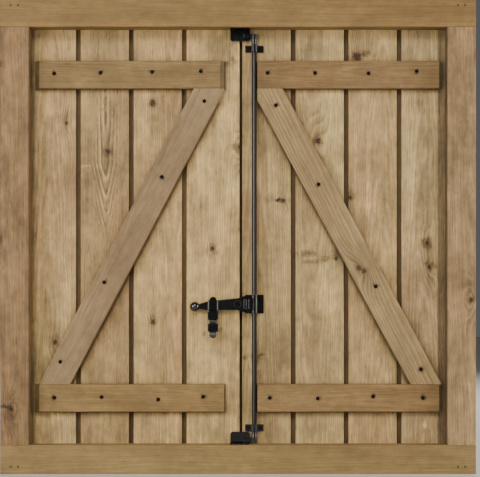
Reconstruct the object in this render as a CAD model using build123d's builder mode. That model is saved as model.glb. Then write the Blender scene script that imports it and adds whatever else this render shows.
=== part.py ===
from build123d import *
from math import acos, atan2, cos, degrees, hypot, radians, sin, tan
import os

# Pair of ledged and braced shutter leaves in their timber frame, with a turning rod bolt.
# Millimetres. +X to the right and +Z up, seen from the room; -Y faces the room and the
# leaves open outward, to +Y. The origin is the centre of the sill's underside.

# Timber frame
frame_width = 1190.0
frame_height = 1190.0
member_face = 72.0
member_depth = 70.0
rebate_lap = 12.0
tenon_thickness = 20.0
tenon_width = 36.0
tenon_setback = 15.0
tenon_play = 0.2
frame_arris = 1.5
nail_diameter = 5.0
nail_length = 32.0
nail_from_edge = 18.0
nail_spacing = 18.0

# Leaves
leaf_clearance = 3.0
seat_gap = 0.5
meeting_offset = 6.6
meeting_gap = 6.6
board_thickness = 20.0
left_joint_shares = (0.2615, 0.5118, 0.7622)
right_joint_shares = (0.2471, 0.5038, 0.7605)
channel_width = 12.0
tongue_thickness = 6.0
tongue_entry = 6.0
tongue_play = 0.3
board_gap = 1.0
board_vee = 3.0
board_arris = 0.8

# Ledges and braces
ledge_width = 69.0
ledge_thickness = 20.0
ledge_inset = 81.0
ledge_jamb_gap = 12.0
ledge_meeting_gap = 38.6
brace_width = 70.0
brace_play = 0.3
left_brace_foot = 8.5
left_brace_head = -2.3
right_brace_foot = -3.0
right_brace_head = -16.0
left_bevel = 10.0
right_bevel = 5.0
ledge_arris = 1.5

# Leaf screws, all as shares: along the ledge from its meeting end, and up from its centre line
leaf_screw_head = 9.5
leaf_screw_shank = 4.5
leaf_screw_length = 36.0
screw_play = 0.15
countersink = 90.0
left_top_shares = ((0.124, 0.12), (0.381, 0.10), (0.653, 0.07), (0.900, 0.04))
left_bottom_shares = ((0.111, 0.05), (0.349, -0.05), (0.649, 0.04), (0.899, 0.02))
right_top_shares = ((0.055, 0.06), (0.314, 0.06), (0.605, 0.04), (0.867, 0.12))
right_bottom_shares = ((0.067, 0.01), (0.328, -0.01), (0.630, 0.06), (0.901, 0.01))
# Brace screws, as shares of the brace's rise, and of its width from its centre to the hinge side
left_brace_shares = ((0.957, -0.06), (0.701, 0.04), (0.345, 0.13), (0.076, 0.21))
right_brace_shares = ((0.943, 0.00), (0.676, 0.00), (0.331, 0.07), (0.051, 0.09))

# Cover strip over the meeting gap, on the outer face of the leaf that opens first
strip_lap = 20.0
strip_width = 56.0
strip_thickness = 12.0
strip_arris = 3.0
strip_relief = 0.4

# Tee hinges on the outer face
hinge_leaf_thickness = 3.0
knuckle_radius = 7.0
knuckle_height = 16.0
knuckle_gap = 0.4
hinge_pin_radius = 3.5
hinge_pin_head = 5.5
hinge_pin_head_height = 2.5
running_fit = 0.06
fixed_fit = 0.02
plate_width = 32.0
plate_height = 118.0
plate_start = 8.5
plate_hole_pitch = 42.0
plate_corner = 3.5
strap_overhang = 22.0
strap_root = 34.0
strap_tip = 18.0
strap_rise = 18.0
hinge_hole = 5.0

# Turning rod with its guides and hooks
rod_diameter = 12.0
rod_from_edge = 30.7
rod_head_gap = 13.0
rod_sill_gap = 3.5
guide_wall = 2.5
guide_width = 46.4
guide_height = 17.3
guide_plate = 3.0
guide_corner = 2.0
guide_from_end = 36.2
guide_hole = 4.0
guide_hole_offset = 16.5
middle_guide_height = 46.8
middle_knuckle_height = 8.0
middle_hole_offset = 15.0
hook_eye_radius = 7.8
hook_eye_height = 12.5
hook_neck_height = 13.0
hook_reach = 28.0
hook_thickness = 8.0
hook_tip_height = 9.0
hook_pin_diameter = 3.0
keeper_width = 49.0
keeper_height = 30.0
keeper_thickness = 3.0
keeper_flange = 31.0
keeper_gap = 0.4
keeper_shift = -2.0
keeper_corner = 4.0
keeper_hole_pitch = 30.0

# Handle: hub pinned to the rod, lever hinged in the hub's fork
handle_height = 424.5
collar_radius = 9.0
collar_gap = 1.0
collar_play = 0.4
boss_reach = 42.2
boss_radius = 13.5
flare_height = 45.0
flare_width = 9.5
cheek_thickness = 4.0
cheek_play = 0.3
slot_heel = 16.0
hub_pin_diameter = 4.0
pin_setback = 1.0
hub_bead_radius = 1.6
hub_bead_pitch = 6.0
hub_bead_length = 24.0
rivet_radius = 4.0
rivet_head_radius = 10.5
rivet_head_height = 3.5
rivet_edge = 1.0
rivet_dish_radius = 7.5
rivet_dish_depth = 0.8
rivet_tail_height = 0.5
lever_thickness = 8.0
lever_root_radius = 15.0
lever_arm = 75.6
lever_arm_height = 23.0
lever_arris = 1.5
lever_drop = 3.4
neck_reach = 95.0
neck_height = 12.6
ball_reach = 108.0
ball_radius = 12.6

# Tilting catch on the left leaf
catch_from_edge = 66.6
catch_width = 26.0
catch_stem_width = 17.5
catch_stem_thickness = 6.5
catch_gap = 1.2
catch_pivot_drop = 44.2
catch_pivot_lead = 7.0
catch_pin_diameter = 5.0
catch_barrel_radius = 5.2
catch_top_rise = 18.4
catch_head_rise = 9.7
catch_head_drop = 17.0
catch_head_thickness = 9.5
catch_head_bevel = 3.0
catch_block_height = 19.8
catch_block_thickness = 8.0
catch_block_lead = 3.0
catch_block_bevel = 1.5
catch_block_gap = 0.1
catch_tail_drop = 33.3
catch_tail_radius = 8.5
catch_tail_lead = 3.0
lug_width = 9.0
lug_play = 0.3
lug_slot_margin = 1.0
lug_pocket_drop = 12.0
catch_base_thickness = 4.0
catch_base_drop = 16.0
shelf_thickness = 8.0
shelf_gap = 0.3
stem_diameter = 8.0
stem_spare = 2.5
washer_diameter = 20.0
washer_thickness = 2.0
nut_across_flats = 13.0
nut_height = 6.5

# Frame planes and edges
half_width = frame_width / 2
front_y = -member_depth / 2
back_y = member_depth / 2
board_face_y = back_y - board_thickness
rebate_y = board_face_y - seat_gap
ledge_front_y = board_face_y - ledge_thickness
reveal_x = half_width - member_face
rebate_x = reveal_x + rebate_lap
leaf_outer_x = rebate_x - leaf_clearance
opening_bottom = member_face
opening_top = frame_height - member_face
leaf_bottom = opening_bottom - rebate_lap + leaf_clearance
leaf_top = opening_top + rebate_lap - leaf_clearance
tenon_y = front_y + tenon_setback + tenon_thickness / 2
jamb_mid_x = (reveal_x + half_width) / 2

# Ledge lines, and the meeting edge of each leaf
top_ledge_z = opening_top - ledge_inset - ledge_width / 2
bottom_ledge_z = opening_bottom + ledge_inset + ledge_width / 2
meeting_x = {-1: meeting_offset - meeting_gap / 2, 1: meeting_offset + meeting_gap / 2}

# Rod, handle and catch lines
rod_radius = rod_diameter / 2
rod_x = meeting_x[1] + rod_from_edge
rod_y = board_face_y - guide_plate - collar_gap - collar_radius
rod_top = opening_top - rod_head_gap
rod_bottom = opening_bottom + rod_sill_gap
plate_front_y = board_face_y - guide_plate
hinge_x = rebate_x - leaf_clearance / 2
hinge_y = back_y + knuckle_radius + seat_gap
boss_x = rod_x - boss_reach
catch_x = meeting_x[-1] - catch_from_edge
catch_pivot_z = handle_height - catch_pivot_drop
catch_back_y = rod_y - lever_thickness / 2 - catch_gap
catch_pivot_y = catch_back_y - catch_pivot_lead

keeper_x = meeting_offset + keeper_shift
keeper_front_y = rod_y + hook_thickness / 2 + keeper_gap
keeper_back_y = keeper_front_y + keeper_thickness
keeper_hole_y = keeper_back_y - keeper_flange / 2 - keeper_thickness

web = 1.0
names = {-1: "left", 1: "right"}
upward = (Align.CENTER, Align.CENTER, Align.MIN)
pieces = []


def keep(part, label):
    """Label a finished piece and put it on the list that is written out."""
    part.label = label
    pieces.append(part)
    return part


def across(y):
    """Upright plane across the shutter at depth y, facing the room."""
    return Plane.XZ.offset(-y)


def room_spot(x, y, z):
    """A place on a face that looks at the room, for what goes in from that side."""
    return Plane(origin=(x, y, z), x_dir=(1, 0, 0), z_dir=(0, -1, 0)).location


def outer_spot(x, y, z):
    """A place on a face that looks outward, for what goes in from that side."""
    return Plane(origin=(x, y, z), x_dir=(-1, 0, 0), z_dir=(0, 1, 0)).location


def bar(x1, x2, y1, y2, mode=Mode.ADD):
    """A rectangle between two limits each way, in whichever order they come."""
    with Locations(((x1 + x2) / 2, (y1 + y2) / 2)):
        Rectangle(abs(x2 - x1), abs(y2 - y1), mode=mode)


def countersunk_screw(head, shank, length):
    """One wood screw, its head flush with z = 0 and its shank down."""
    head_depth = (head - shank) / 2
    with BuildPart() as screw:
        with BuildSketch(Plane.XZ):
            with BuildLine():
                Polyline(
                    (0, 0),
                    (head / 2, 0),
                    (shank / 2, -head_depth),
                    (shank / 2, -length),
                    (0, -length),
                    close=True,
                )
            make_face()
        revolve(axis=Axis.Z)
    return screw.part


def drive(screw, spots, label):
    """One node of identical fasteners, each at its own spot."""
    with BuildPart() as group:
        with Locations(*spots):
            add(screw)
    return keep(group.part, label)


def sink(spots, head, shank, depth):
    """Countersunk clearance holes in the piece being made."""
    with Locations(*spots):
        CounterSinkHole(
            radius=shank / 2 + screw_play,
            counter_sink_radius=head / 2 + screw_play,
            depth=depth,
            counter_sink_angle=countersink,
        )


def pilot(spots, shank, depth):
    """Plain blind holes in the piece being made, for the shanks that end in it."""
    with Locations(*spots):
        Hole(radius=shank / 2 + screw_play, depth=depth + screw_play)


# Frame: the head and the sill run through, and the jambs are tenoned between them

def nail_places(side, z):
    """The pair of nails through one tenon, on the room side of the frame."""
    xs = (side * jamb_mid_x - nail_spacing / 2, side * jamb_mid_x + nail_spacing / 2)
    return [room_spot(x, front_y, z) for x in xs]


top_nail_z = frame_height - nail_from_edge
nail_spots = [
    spot for side in (-1, 1) for z in (nail_from_edge, top_nail_z) for spot in nail_places(side, z)
]
nail_hole = nail_diameter / 2 + screw_play


def make_rail(label, low_z, rebate_low_z, rebate_high_z):
    """Head or sill: rebated along its inner edge and mortised right through for both jambs."""
    with BuildPart() as rail:
        with BuildSketch(Plane.YZ.offset(-half_width)) as section:
            bar(front_y, back_y, low_z, low_z + member_face)
            chamfer(section.vertices(), length=frame_arris)
            bar(rebate_y, back_y, rebate_low_z, rebate_high_z, mode=Mode.SUBTRACT)
        extrude(amount=frame_width)
        with BuildSketch(Plane.XY.offset(low_z)):
            for side in (-1, 1):
                with Locations((side * jamb_mid_x, tenon_y)):
                    Rectangle(tenon_width + 2 * tenon_play, tenon_thickness + 2 * tenon_play)
        extrude(amount=member_face, mode=Mode.SUBTRACT)
        with Locations(*nail_spots):
            Hole(radius=nail_hole, depth=nail_length + screw_play)
    return keep(rail.part, label)


make_rail("head", opening_top, opening_top, opening_top + rebate_lap)
make_rail("sill", 0, opening_bottom - rebate_lap, opening_bottom)


def make_jamb(side):
    """Jamb: rebated for the leaf, scribed into the rails' rebates, with a tenon at each end."""
    with BuildPart() as jamb:
        with BuildSketch(Plane.XY.offset(opening_bottom)) as section:
            bar(side * reveal_x, side * half_width, front_y, back_y)
            chamfer(section.vertices(), length=frame_arris)
            bar(side * reveal_x, side * rebate_x, rebate_y, back_y, mode=Mode.SUBTRACT)
        extrude(amount=opening_top - opening_bottom)
        with BuildSketch(Plane.XY.offset(opening_bottom - rebate_lap)):
            bar(side * rebate_x, side * (half_width - frame_arris), rebate_y, back_y - frame_arris)
        extrude(amount=opening_top - opening_bottom + 2 * rebate_lap)
        with BuildSketch(Plane.XY):
            with Locations((side * jamb_mid_x, tenon_y)):
                Rectangle(tenon_width, tenon_thickness)
        extrude(amount=frame_height)
        with Locations(*nail_spots):
            Hole(radius=nail_hole, depth=nail_length + screw_play)
    return keep(jamb.part, names[side] + "_jamb")


for side in (-1, 1):
    make_jamb(side)

with BuildPart() as nail:
    Cylinder(nail_diameter / 2, nail_length, align=(Align.CENTER, Align.CENTER, Align.MAX))
drive(nail.part, nail_spots, "frame_nails")


# Leaves: four tongued boards, two ledges and a brace each

def ledge_ends(side):
    """Meeting end and hinge end of a ledge."""
    return meeting_x[side] + side * ledge_meeting_gap, side * (reveal_x - ledge_jamb_gap)


def ledge_spots(side, places, z):
    """Screw places along a ledge, as x and z."""
    meeting_end, hinge_end = ledge_ends(side)
    run = hinge_end - meeting_end
    return [(meeting_end + share * run, z + rise * ledge_width) for share, rise in places]


brace_low = bottom_ledge_z + ledge_width / 2 + brace_play
brace_high = top_ledge_z - ledge_width / 2 - brace_play


def brace_lean(side, foot, head):
    """Angle of the brace from upright, from where its two outer edges meet the ledges."""
    meeting_end, hinge_end = ledge_ends(side)
    run = abs(hinge_end - meeting_end) - foot - head
    rise = brace_high - brace_low
    return acos(brace_width / hypot(run, rise)) - atan2(rise, run)


def brace_centre(side, foot, head, share):
    """x and z of the brace's centre line at a share of its rise."""
    lean = brace_lean(side, foot, head)
    z = brace_low + share * (brace_high - brace_low)
    from_hinge_end = foot + brace_width / cos(lean) / 2 + (z - brace_low) * tan(lean)
    return ledge_ends(side)[1] - side * from_hinge_end, z


leaf_data = {
    -1: (left_top_shares, left_bottom_shares, left_brace_shares, left_brace_foot, left_brace_head),
    1: (right_top_shares, right_bottom_shares, right_brace_shares, right_brace_foot, right_brace_head),
}
top_xz = {side: ledge_spots(side, leaf_data[side][0], top_ledge_z) for side in (-1, 1)}
bottom_xz = {side: ledge_spots(side, leaf_data[side][1], bottom_ledge_z) for side in (-1, 1)}
brace_xz = {}
for side in (-1, 1):
    brace_xz[side] = []
    for share, shift in leaf_data[side][2]:
        x, z = brace_centre(side, leaf_data[side][3], leaf_data[side][4], share)
        brace_xz[side].append((x + side * shift * brace_width, z))
leaf_screw_xz = {side: top_xz[side] + bottom_xz[side] + brace_xz[side] for side in (-1, 1)}

strap_outer_y = back_y + hinge_leaf_thickness


def joint_lines(side, shares):
    """The leaf's meeting edge, its joint lines and its hinge edge."""
    start, end = meeting_x[side], side * leaf_outer_x
    return [start] + [start + share * (end - start) for share in shares] + [end]


board_lines = {-1: joint_lines(-1, left_joint_shares), 1: joint_lines(1, right_joint_shares)}
board_middles = {
    side: [(lines[i] + lines[i + 1]) / 2 for i in range(len(lines) - 1)]
    for side, lines in board_lines.items()
}


def make_board(side, number, inner, outer, first, last):
    """One board between two joint lines: channel on the room side, tongue, groove, vee outside."""
    layer_low = board_face_y + (board_thickness - tongue_thickness) / 2
    layer_high = layer_low + tongue_thickness
    inner_edge = inner if first else inner + side * channel_width / 2
    outer_edge = outer if last else outer - side * channel_width / 2
    back_inner = inner if first else inner + side * board_gap / 2
    back_outer = outer if last else outer - side * board_gap / 2
    with BuildPart() as board:
        with BuildSketch(Plane.XY.offset(leaf_bottom)) as section:
            bar(inner_edge, outer_edge, board_face_y, back_y)
            bar(back_inner, back_outer, layer_high, back_y)
            if not first:
                tongue_end = inner - side * (channel_width / 2 + tongue_entry)
                bar(tongue_end, inner_edge, layer_low + tongue_play, layer_high - tongue_play)
            if not last:
                groove_end = outer_edge - side * (tongue_entry + tongue_play)
                bar(outer_edge, groove_end, layer_low, layer_high, mode=Mode.SUBTRACT)
            chamfer(section.vertices().group_by(Axis.Y)[-1], length=board_vee)
            chamfer(section.vertices().group_by(Axis.Y)[0], length=board_arris)
        extrude(amount=leaf_top - leaf_bottom)
        screws = [room_spot(x, board_face_y, z) for x, z in leaf_screw_xz[side]]
        pilot(screws, leaf_screw_shank, leaf_screw_length - ledge_thickness)
        if side < 0 and first:
            with Locations(room_spot(catch_x, board_face_y, catch_pivot_z)):
                Hole(radius=stem_diameter / 2 + screw_play, depth=board_thickness)
    return keep(board.part, f"{names[side]}_board_{number}")


for side in (-1, 1):
    lines = board_lines[side]
    last = len(lines) - 2
    for i in range(last + 1):
        make_board(side, i + 1, lines[i], lines[i + 1], i == 0, i == last)


def make_ledge(side, label, z, spots_xz, meeting_bevel, hinge_bevel):
    """A ledge with bevelled ends, drilled for its screws and for the strap's."""
    meeting_end, hinge_end = ledge_ends(side)
    corners = [(meeting_end, board_face_y)]
    if meeting_bevel:
        corners.append((meeting_end, ledge_front_y + meeting_bevel))
    corners.append((meeting_end + side * meeting_bevel, ledge_front_y))
    corners.append((hinge_end - side * hinge_bevel, ledge_front_y))
    corners.append((hinge_end, ledge_front_y + hinge_bevel))
    corners.append((hinge_end, board_face_y))
    with BuildPart() as ledge:
        with BuildSketch(Plane.XY.offset(z - ledge_width / 2)):
            with BuildLine():
                Polyline(*corners, close=True)
            make_face()
        extrude(amount=ledge_width)
        chamfer(ledge.edges().filter_by(Axis.X).group_by(Axis.Y)[0], length=ledge_arris)
        spots = [room_spot(x, ledge_front_y, z) for x, z in spots_xz]
        sink(spots, leaf_screw_head, leaf_screw_shank, ledge_thickness)
    return keep(ledge.part, label)


def make_brace(side, spots_xz, foot, head, bevel):
    """The brace: a band leaning to the meeting side, cut level at both ledges."""
    lean = brace_lean(side, foot, head)
    half = brace_width / cos(lean) / 2
    low_x = brace_centre(side, foot, head, 0)[0]
    high_x = brace_centre(side, foot, head, 1)[0]
    meeting_end, hinge_end = ledge_ends(side)
    with BuildPart() as brace:
        with BuildSketch(across(board_face_y)):
            with BuildLine():
                Polyline(
                    (low_x - half, brace_low),
                    (low_x + half, brace_low),
                    (high_x + half, brace_high),
                    (high_x - half, brace_high),
                    close=True,
                )
            make_face()
            bar(meeting_end, hinge_end, brace_low, brace_high, mode=Mode.INTERSECT)
        extrude(amount=ledge_thickness)
        front = brace.faces().sort_by(Axis.Y)[0]
        chamfer(front.edges().sort_by(SortBy.LENGTH)[-2:], length=ledge_arris)
        if bevel:
            with BuildSketch(Plane.XY.offset(brace_low)):
                with BuildLine():
                    Polyline(
                        (meeting_end, ledge_front_y),
                        (meeting_end, ledge_front_y + bevel),
                        (meeting_end + side * bevel, ledge_front_y),
                        close=True,
                    )
                make_face()
            extrude(amount=brace_high - brace_low, mode=Mode.SUBTRACT)
        spots = [room_spot(x, ledge_front_y, z) for x, z in spots_xz]
        sink(spots, leaf_screw_head, leaf_screw_shank, ledge_thickness)
    return keep(brace.part, names[side] + "_brace")


leaf_screw = countersunk_screw(leaf_screw_head, leaf_screw_shank, leaf_screw_length)
for side in (-1, 1):
    name = names[side]
    hinge_bevel = left_bevel if side < 0 else right_bevel
    meeting_bevel = left_bevel if side < 0 else 0
    make_ledge(side, name + "_top_ledge", top_ledge_z, top_xz[side], meeting_bevel, hinge_bevel)
    make_ledge(side, name + "_bottom_ledge", bottom_ledge_z, bottom_xz[side], 0, hinge_bevel)
    make_brace(side, brace_xz[side], leaf_data[side][3], leaf_data[side][4], meeting_bevel)
    spots = [room_spot(x, ledge_front_y, z) for x, z in leaf_screw_xz[side]]
    drive(leaf_screw, spots, name + "_leaf_screws")


# Cover strip: lies on the right leaf and stands just clear of the left one

strip_x = meeting_x[-1] - strip_lap
with BuildPart() as cover_strip:
    with BuildSketch(Plane.XY.offset(leaf_bottom)) as section:
        bar(strip_x, strip_x + strip_width, back_y, back_y + strip_thickness)
        chamfer(section.vertices().group_by(Axis.Y)[-1], length=strip_arris)
        bar(strip_x, meeting_x[1], back_y, back_y + strip_relief, mode=Mode.SUBTRACT)
    extrude(amount=leaf_top - leaf_bottom)
keep(cover_strip.part, "cover_strip")


# Tee hinges: plate on the jamb, strap on the leaf, pin in the plate

def add_knuckle(axis_x, low_z, bore):
    """One knuckle of a hinge, bored for the pin."""
    with Locations((axis_x, hinge_y, low_z)):
        Cylinder(knuckle_radius, knuckle_height, align=upward)
        Cylinder(bore, knuckle_height, align=upward, mode=Mode.SUBTRACT)


def make_hinge_plate(side, label, z):
    """Jamb plate with the upper and lower knuckles."""
    axis_x = side * hinge_x
    inner_x = axis_x + side * plate_start
    knuckle_lows = (z - 1.5 * knuckle_height - knuckle_gap, z + knuckle_height / 2 + knuckle_gap)
    with BuildPart() as plate:
        with BuildSketch(across(strap_outer_y)) as outline:
            bar(inner_x, inner_x + side * plate_width, z - plate_height / 2, z + plate_height / 2)
            chamfer(outline.vertices(), length=plate_corner)
            for low in knuckle_lows:
                bar(axis_x, inner_x + side * plate_corner, low, low + knuckle_height)
        extrude(amount=hinge_leaf_thickness)
        for low in knuckle_lows:
            add_knuckle(axis_x, low, hinge_pin_radius + fixed_fit)
        hole_x = inner_x + side * plate_width / 2
        hole_zs = (z - plate_hole_pitch, z, z + plate_hole_pitch)
        with Locations(*[outer_spot(hole_x, strap_outer_y, hole_z) for hole_z in hole_zs]):
            Hole(radius=hinge_hole / 2, depth=hinge_leaf_thickness)
    return keep(plate.part, label)


def make_strap(side, label, z):
    """Tapered strap with the middle knuckle and a round end."""
    axis_x = side * hinge_x
    root_x = axis_x - side * plate_start
    hole_xs = board_middles[side][1:]
    tip_x = hole_xs[0] - side * strap_overhang
    with BuildPart() as strap:
        with BuildSketch(across(strap_outer_y)):
            with BuildLine():
                Polyline(
                    (root_x, z - strap_root / 2),
                    (root_x, z + strap_root / 2),
                    (tip_x, z + strap_tip / 2),
                    (tip_x, z - strap_tip / 2),
                    close=True,
                )
            make_face()
            with Locations((tip_x, z)):
                Circle(strap_tip / 2)
            bar(axis_x, root_x, z - knuckle_height / 2, z + knuckle_height / 2)
        extrude(amount=hinge_leaf_thickness)
        add_knuckle(axis_x, z - knuckle_height / 2, hinge_pin_radius + running_fit)
        with Locations(*[outer_spot(x, strap_outer_y, z) for x in hole_xs]):
            Hole(radius=hinge_hole / 2, depth=hinge_leaf_thickness)
    return keep(strap.part, label)


def make_hinge_pin(side, label, z):
    """Pin through the three knuckles, with a button head on top."""
    barrel = 3 * knuckle_height + 2 * knuckle_gap
    with BuildPart() as pin:
        with Locations((side * hinge_x, hinge_y, z)):
            Cylinder(hinge_pin_radius, barrel)
        with Locations((side * hinge_x, hinge_y, z + barrel / 2)):
            Cylinder(hinge_pin_head, hinge_pin_head_height, align=upward)
        chamfer(pin.edges().group_by(Axis.Z)[-1], length=hinge_pin_head_height / 2)
    return keep(pin.part, label)


strap_heights = {"upper": top_ledge_z + strap_rise, "lower": bottom_ledge_z + strap_rise}
for side in (-1, 1):
    for level, z in strap_heights.items():
        stem = f"{names[side]}_{level}"
        make_hinge_plate(side, stem + "_hinge_plate", z)
        make_strap(side, stem + "_hinge_strap", z)
        make_hinge_pin(side, stem + "_hinge_pin", z)


# Rod with its hooks, guides and keepers

def cross_hole(z, diameter):
    """A hole across the rod, along X, in the piece being made."""
    with Locations(Plane(origin=(rod_x, rod_y, z), z_dir=(1, 0, 0)).location):
        Cylinder(diameter / 2 + fixed_fit, 4 * rod_radius, mode=Mode.SUBTRACT)


hook_pin_z = {"top": rod_top - hook_eye_height / 2, "bottom": rod_bottom + hook_eye_height / 2}

with BuildPart() as rod:
    with BuildSketch(Plane.XY.offset(rod_bottom)):
        with Locations((rod_x, rod_y)):
            Circle(rod_radius)
    extrude(amount=rod_top - rod_bottom)
    for z in hook_pin_z.values():
        cross_hole(z, hook_pin_diameter)
    cross_hole(handle_height, hub_pin_diameter)
keep(rod.part, "rod")


def make_hook(label, end_z, inward):
    """Hook: an eye on the rod's end, a neck that tapers into the rod, and a flat finger."""
    eye_z = end_z + inward * hook_eye_height
    neck_z = eye_z + inward * hook_neck_height
    tip_x = rod_x - hook_reach
    with BuildPart() as hook:
        with BuildSketch(Plane.XZ.offset(-rod_y)):
            with BuildLine():
                Polyline(
                    (rod_x, end_z),
                    (rod_x + hook_eye_radius, end_z),
                    (rod_x + hook_eye_radius, eye_z),
                    (rod_x + rod_radius + fixed_fit, neck_z),
                    (rod_x, neck_z),
                    close=True,
                )
            make_face()
        revolve(axis=Axis((rod_x, rod_y, 0), (0, 0, 1)))
        with BuildSketch(across(rod_y + hook_thickness / 2)):
            with BuildLine():
                Polyline(
                    (rod_x, end_z),
                    (tip_x, end_z),
                    (tip_x, end_z + inward * hook_tip_height),
                    (rod_x - hook_eye_radius, eye_z),
                    (rod_x, eye_z),
                    close=True,
                )
            make_face()
        extrude(amount=hook_thickness)
        tip_edges = hook.edges().filter_by(Axis.Z).group_by(Axis.X)[0]
        fillet(tip_edges, radius=hook_thickness / 3)
        with BuildSketch(Plane.XY.offset(min(end_z, neck_z))):
            with Locations((rod_x, rod_y)):
                Circle(rod_radius + fixed_fit)
        extrude(amount=abs(neck_z - end_z), mode=Mode.SUBTRACT)
        with BuildSketch(Plane.YZ.offset(rod_x)):
            with Locations((rod_y, (end_z + eye_z) / 2)):
                Circle(hook_pin_diameter / 2 + fixed_fit)
        extrude(amount=hook_eye_radius, mode=Mode.SUBTRACT)
    return keep(hook.part, label)


make_hook("top_hook", rod_top, -1)
make_hook("bottom_hook", rod_bottom, 1)

with BuildPart() as hook_pins:
    for z in hook_pin_z.values():
        with BuildSketch(Plane.YZ.offset(rod_x - rod_radius + pin_setback)):
            with Locations((rod_y, z)):
                Circle(hook_pin_diameter / 2)
        extrude(amount=rod_radius - pin_setback + hook_eye_radius)
keep(hook_pins.part, "hook_pins")


def add_rod_loop(low_z, height):
    """A loop of the guide round the rod, on a foot that reaches its plate."""
    outer = rod_radius + guide_wall
    foot_length = board_face_y - rod_y
    with Locations((rod_x, rod_y, low_z)):
        Cylinder(outer, height, align=upward)
        Box(2 * outer, foot_length, height, align=(Align.CENTER, Align.MIN, Align.MIN))
        Cylinder(rod_radius + running_fit, height, align=upward, mode=Mode.SUBTRACT)


def make_guide(label, z, height, loops, hole_rows):
    """A guide: a plate screwed to the boards, with loops that the rod turns in."""
    with BuildPart() as guide:
        with BuildSketch(across(board_face_y)) as outline:
            half = guide_width / 2
            bar(rod_x - half, rod_x + half, z - height / 2, z + height / 2)
            fillet(outline.vertices(), radius=guide_corner)
        extrude(amount=guide_plate)
        for low, tall in loops:
            add_rod_loop(low, tall)
        spots = [
            room_spot(rod_x + dx, plate_front_y, z + dz)
            for dz in hole_rows
            for dx in (-guide_hole_offset, guide_hole_offset)
        ]
        with Locations(*spots):
            Hole(radius=guide_hole / 2, depth=guide_plate)
    return keep(guide.part, label)


for label, z in (("top", rod_top - guide_from_end), ("bottom", rod_bottom + guide_from_end)):
    loop = (z - guide_height / 2, guide_height)
    make_guide(label + "_rod_guide", z, guide_height, [loop], (0,))
middle_low = handle_height - middle_guide_height / 2
middle_loops = [
    (middle_low, middle_knuckle_height),
    (middle_low + middle_guide_height - middle_knuckle_height, middle_knuckle_height),
]
middle_rows = (-middle_hole_offset, middle_hole_offset)
make_guide("middle_rod_guide", handle_height, middle_guide_height, middle_loops, middle_rows)

def make_keeper(label, rail_z, inward):
    """Keeper: a folded angle, its flange on the rail and its plate behind the hook."""
    flange_z = rail_z + inward * keeper_thickness
    plate_z = rail_z + inward * keeper_height
    flange_y = keeper_back_y - keeper_flange
    with BuildPart() as keeper:
        with BuildSketch(Plane.YZ.offset(keeper_x - keeper_width / 2)) as section:
            bar(flange_y, keeper_back_y, rail_z, flange_z)
            bar(keeper_front_y, keeper_back_y, rail_z, plate_z)
            bend = section.vertices().sort_by_distance((keeper_x, keeper_back_y, rail_z))[0]
            chamfer(bend, length=keeper_thickness / 2)
        extrude(amount=keeper_width)
        corners = keeper.edges().filter_by(Axis.Y).sort_by(lambda edge: abs(edge.center().Z - plate_z))
        chamfer(corners[0:2], length=keeper_corner)
        for dx in (-keeper_hole_pitch / 2, keeper_hole_pitch / 2):
            with Locations((keeper_x + dx, keeper_hole_y, flange_z)):
                Cylinder(guide_hole / 2, 2 * keeper_flange, mode=Mode.SUBTRACT)
    return keep(keeper.part, label)


make_keeper("top_keeper", opening_top, -1)
make_keeper("bottom_keeper", opening_bottom, 1)


# Handle: a fork pinned to the rod and a flat lever with a ball

hub_half = lever_thickness / 2 + cheek_play + cheek_thickness
flare_x = rod_x - collar_radius - collar_play
collar_height = middle_guide_height - 2 * (middle_knuckle_height + collar_play)
slot_end_x = boss_x + slot_heel

with BuildPart() as handle_hub:
    with BuildSketch(across(rod_y + hub_half)):
        with Locations((boss_x, handle_height)):
            Circle(boss_radius)
        half = flare_height / 2
        bar(flare_x - flare_width, flare_x, handle_height - half, handle_height + half)
        make_hull()
    extrude(amount=2 * hub_half)
    with BuildSketch(Plane.XY.offset(handle_height - collar_height / 2)):
        bar(flare_x - web, rod_x, rod_y - hub_half, rod_y + hub_half)
        with Locations((rod_x, rod_y)):
            Circle(collar_radius)
    extrude(amount=collar_height)
    bead_x = slot_end_x
    while bead_x < flare_x:
        with BuildSketch(Plane.XY.offset(handle_height - hub_bead_length / 2)):
            with Locations((bead_x, rod_y - hub_half)):
                Circle(hub_bead_radius)
        extrude(amount=hub_bead_length)
        bead_x += hub_bead_pitch
    with BuildSketch(across(rod_y + lever_thickness / 2 + cheek_play)):
        half = flare_height
        bar(boss_x - 2 * boss_radius, slot_end_x, handle_height - half, handle_height + half)
    extrude(amount=lever_thickness + 2 * cheek_play, mode=Mode.SUBTRACT)
    with BuildSketch(Plane.XY.offset(handle_height - flare_height / 2)):
        with Locations((rod_x, rod_y)):
            Circle(rod_radius + fixed_fit)
    extrude(amount=flare_height, mode=Mode.SUBTRACT)
    with BuildSketch(across(rod_y + 2 * hub_half)):
        with Locations((boss_x, handle_height)):
            Circle(rivet_radius + fixed_fit)
    extrude(amount=4 * hub_half, mode=Mode.SUBTRACT)
    with BuildSketch(Plane.YZ.offset(rod_x)):
        with Locations((rod_y, handle_height)):
            Circle(hub_pin_diameter / 2 + fixed_fit)
    extrude(amount=collar_radius, mode=Mode.SUBTRACT)
keep(handle_hub.part, "handle_hub")

with BuildPart() as hub_pin:
    with BuildSketch(Plane.YZ.offset(rod_x - rod_radius + pin_setback)):
        with Locations((rod_y, handle_height)):
            Circle(hub_pin_diameter / 2)
    extrude(amount=rod_radius - pin_setback + collar_radius)
keep(hub_pin.part, "hub_pin")

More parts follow.
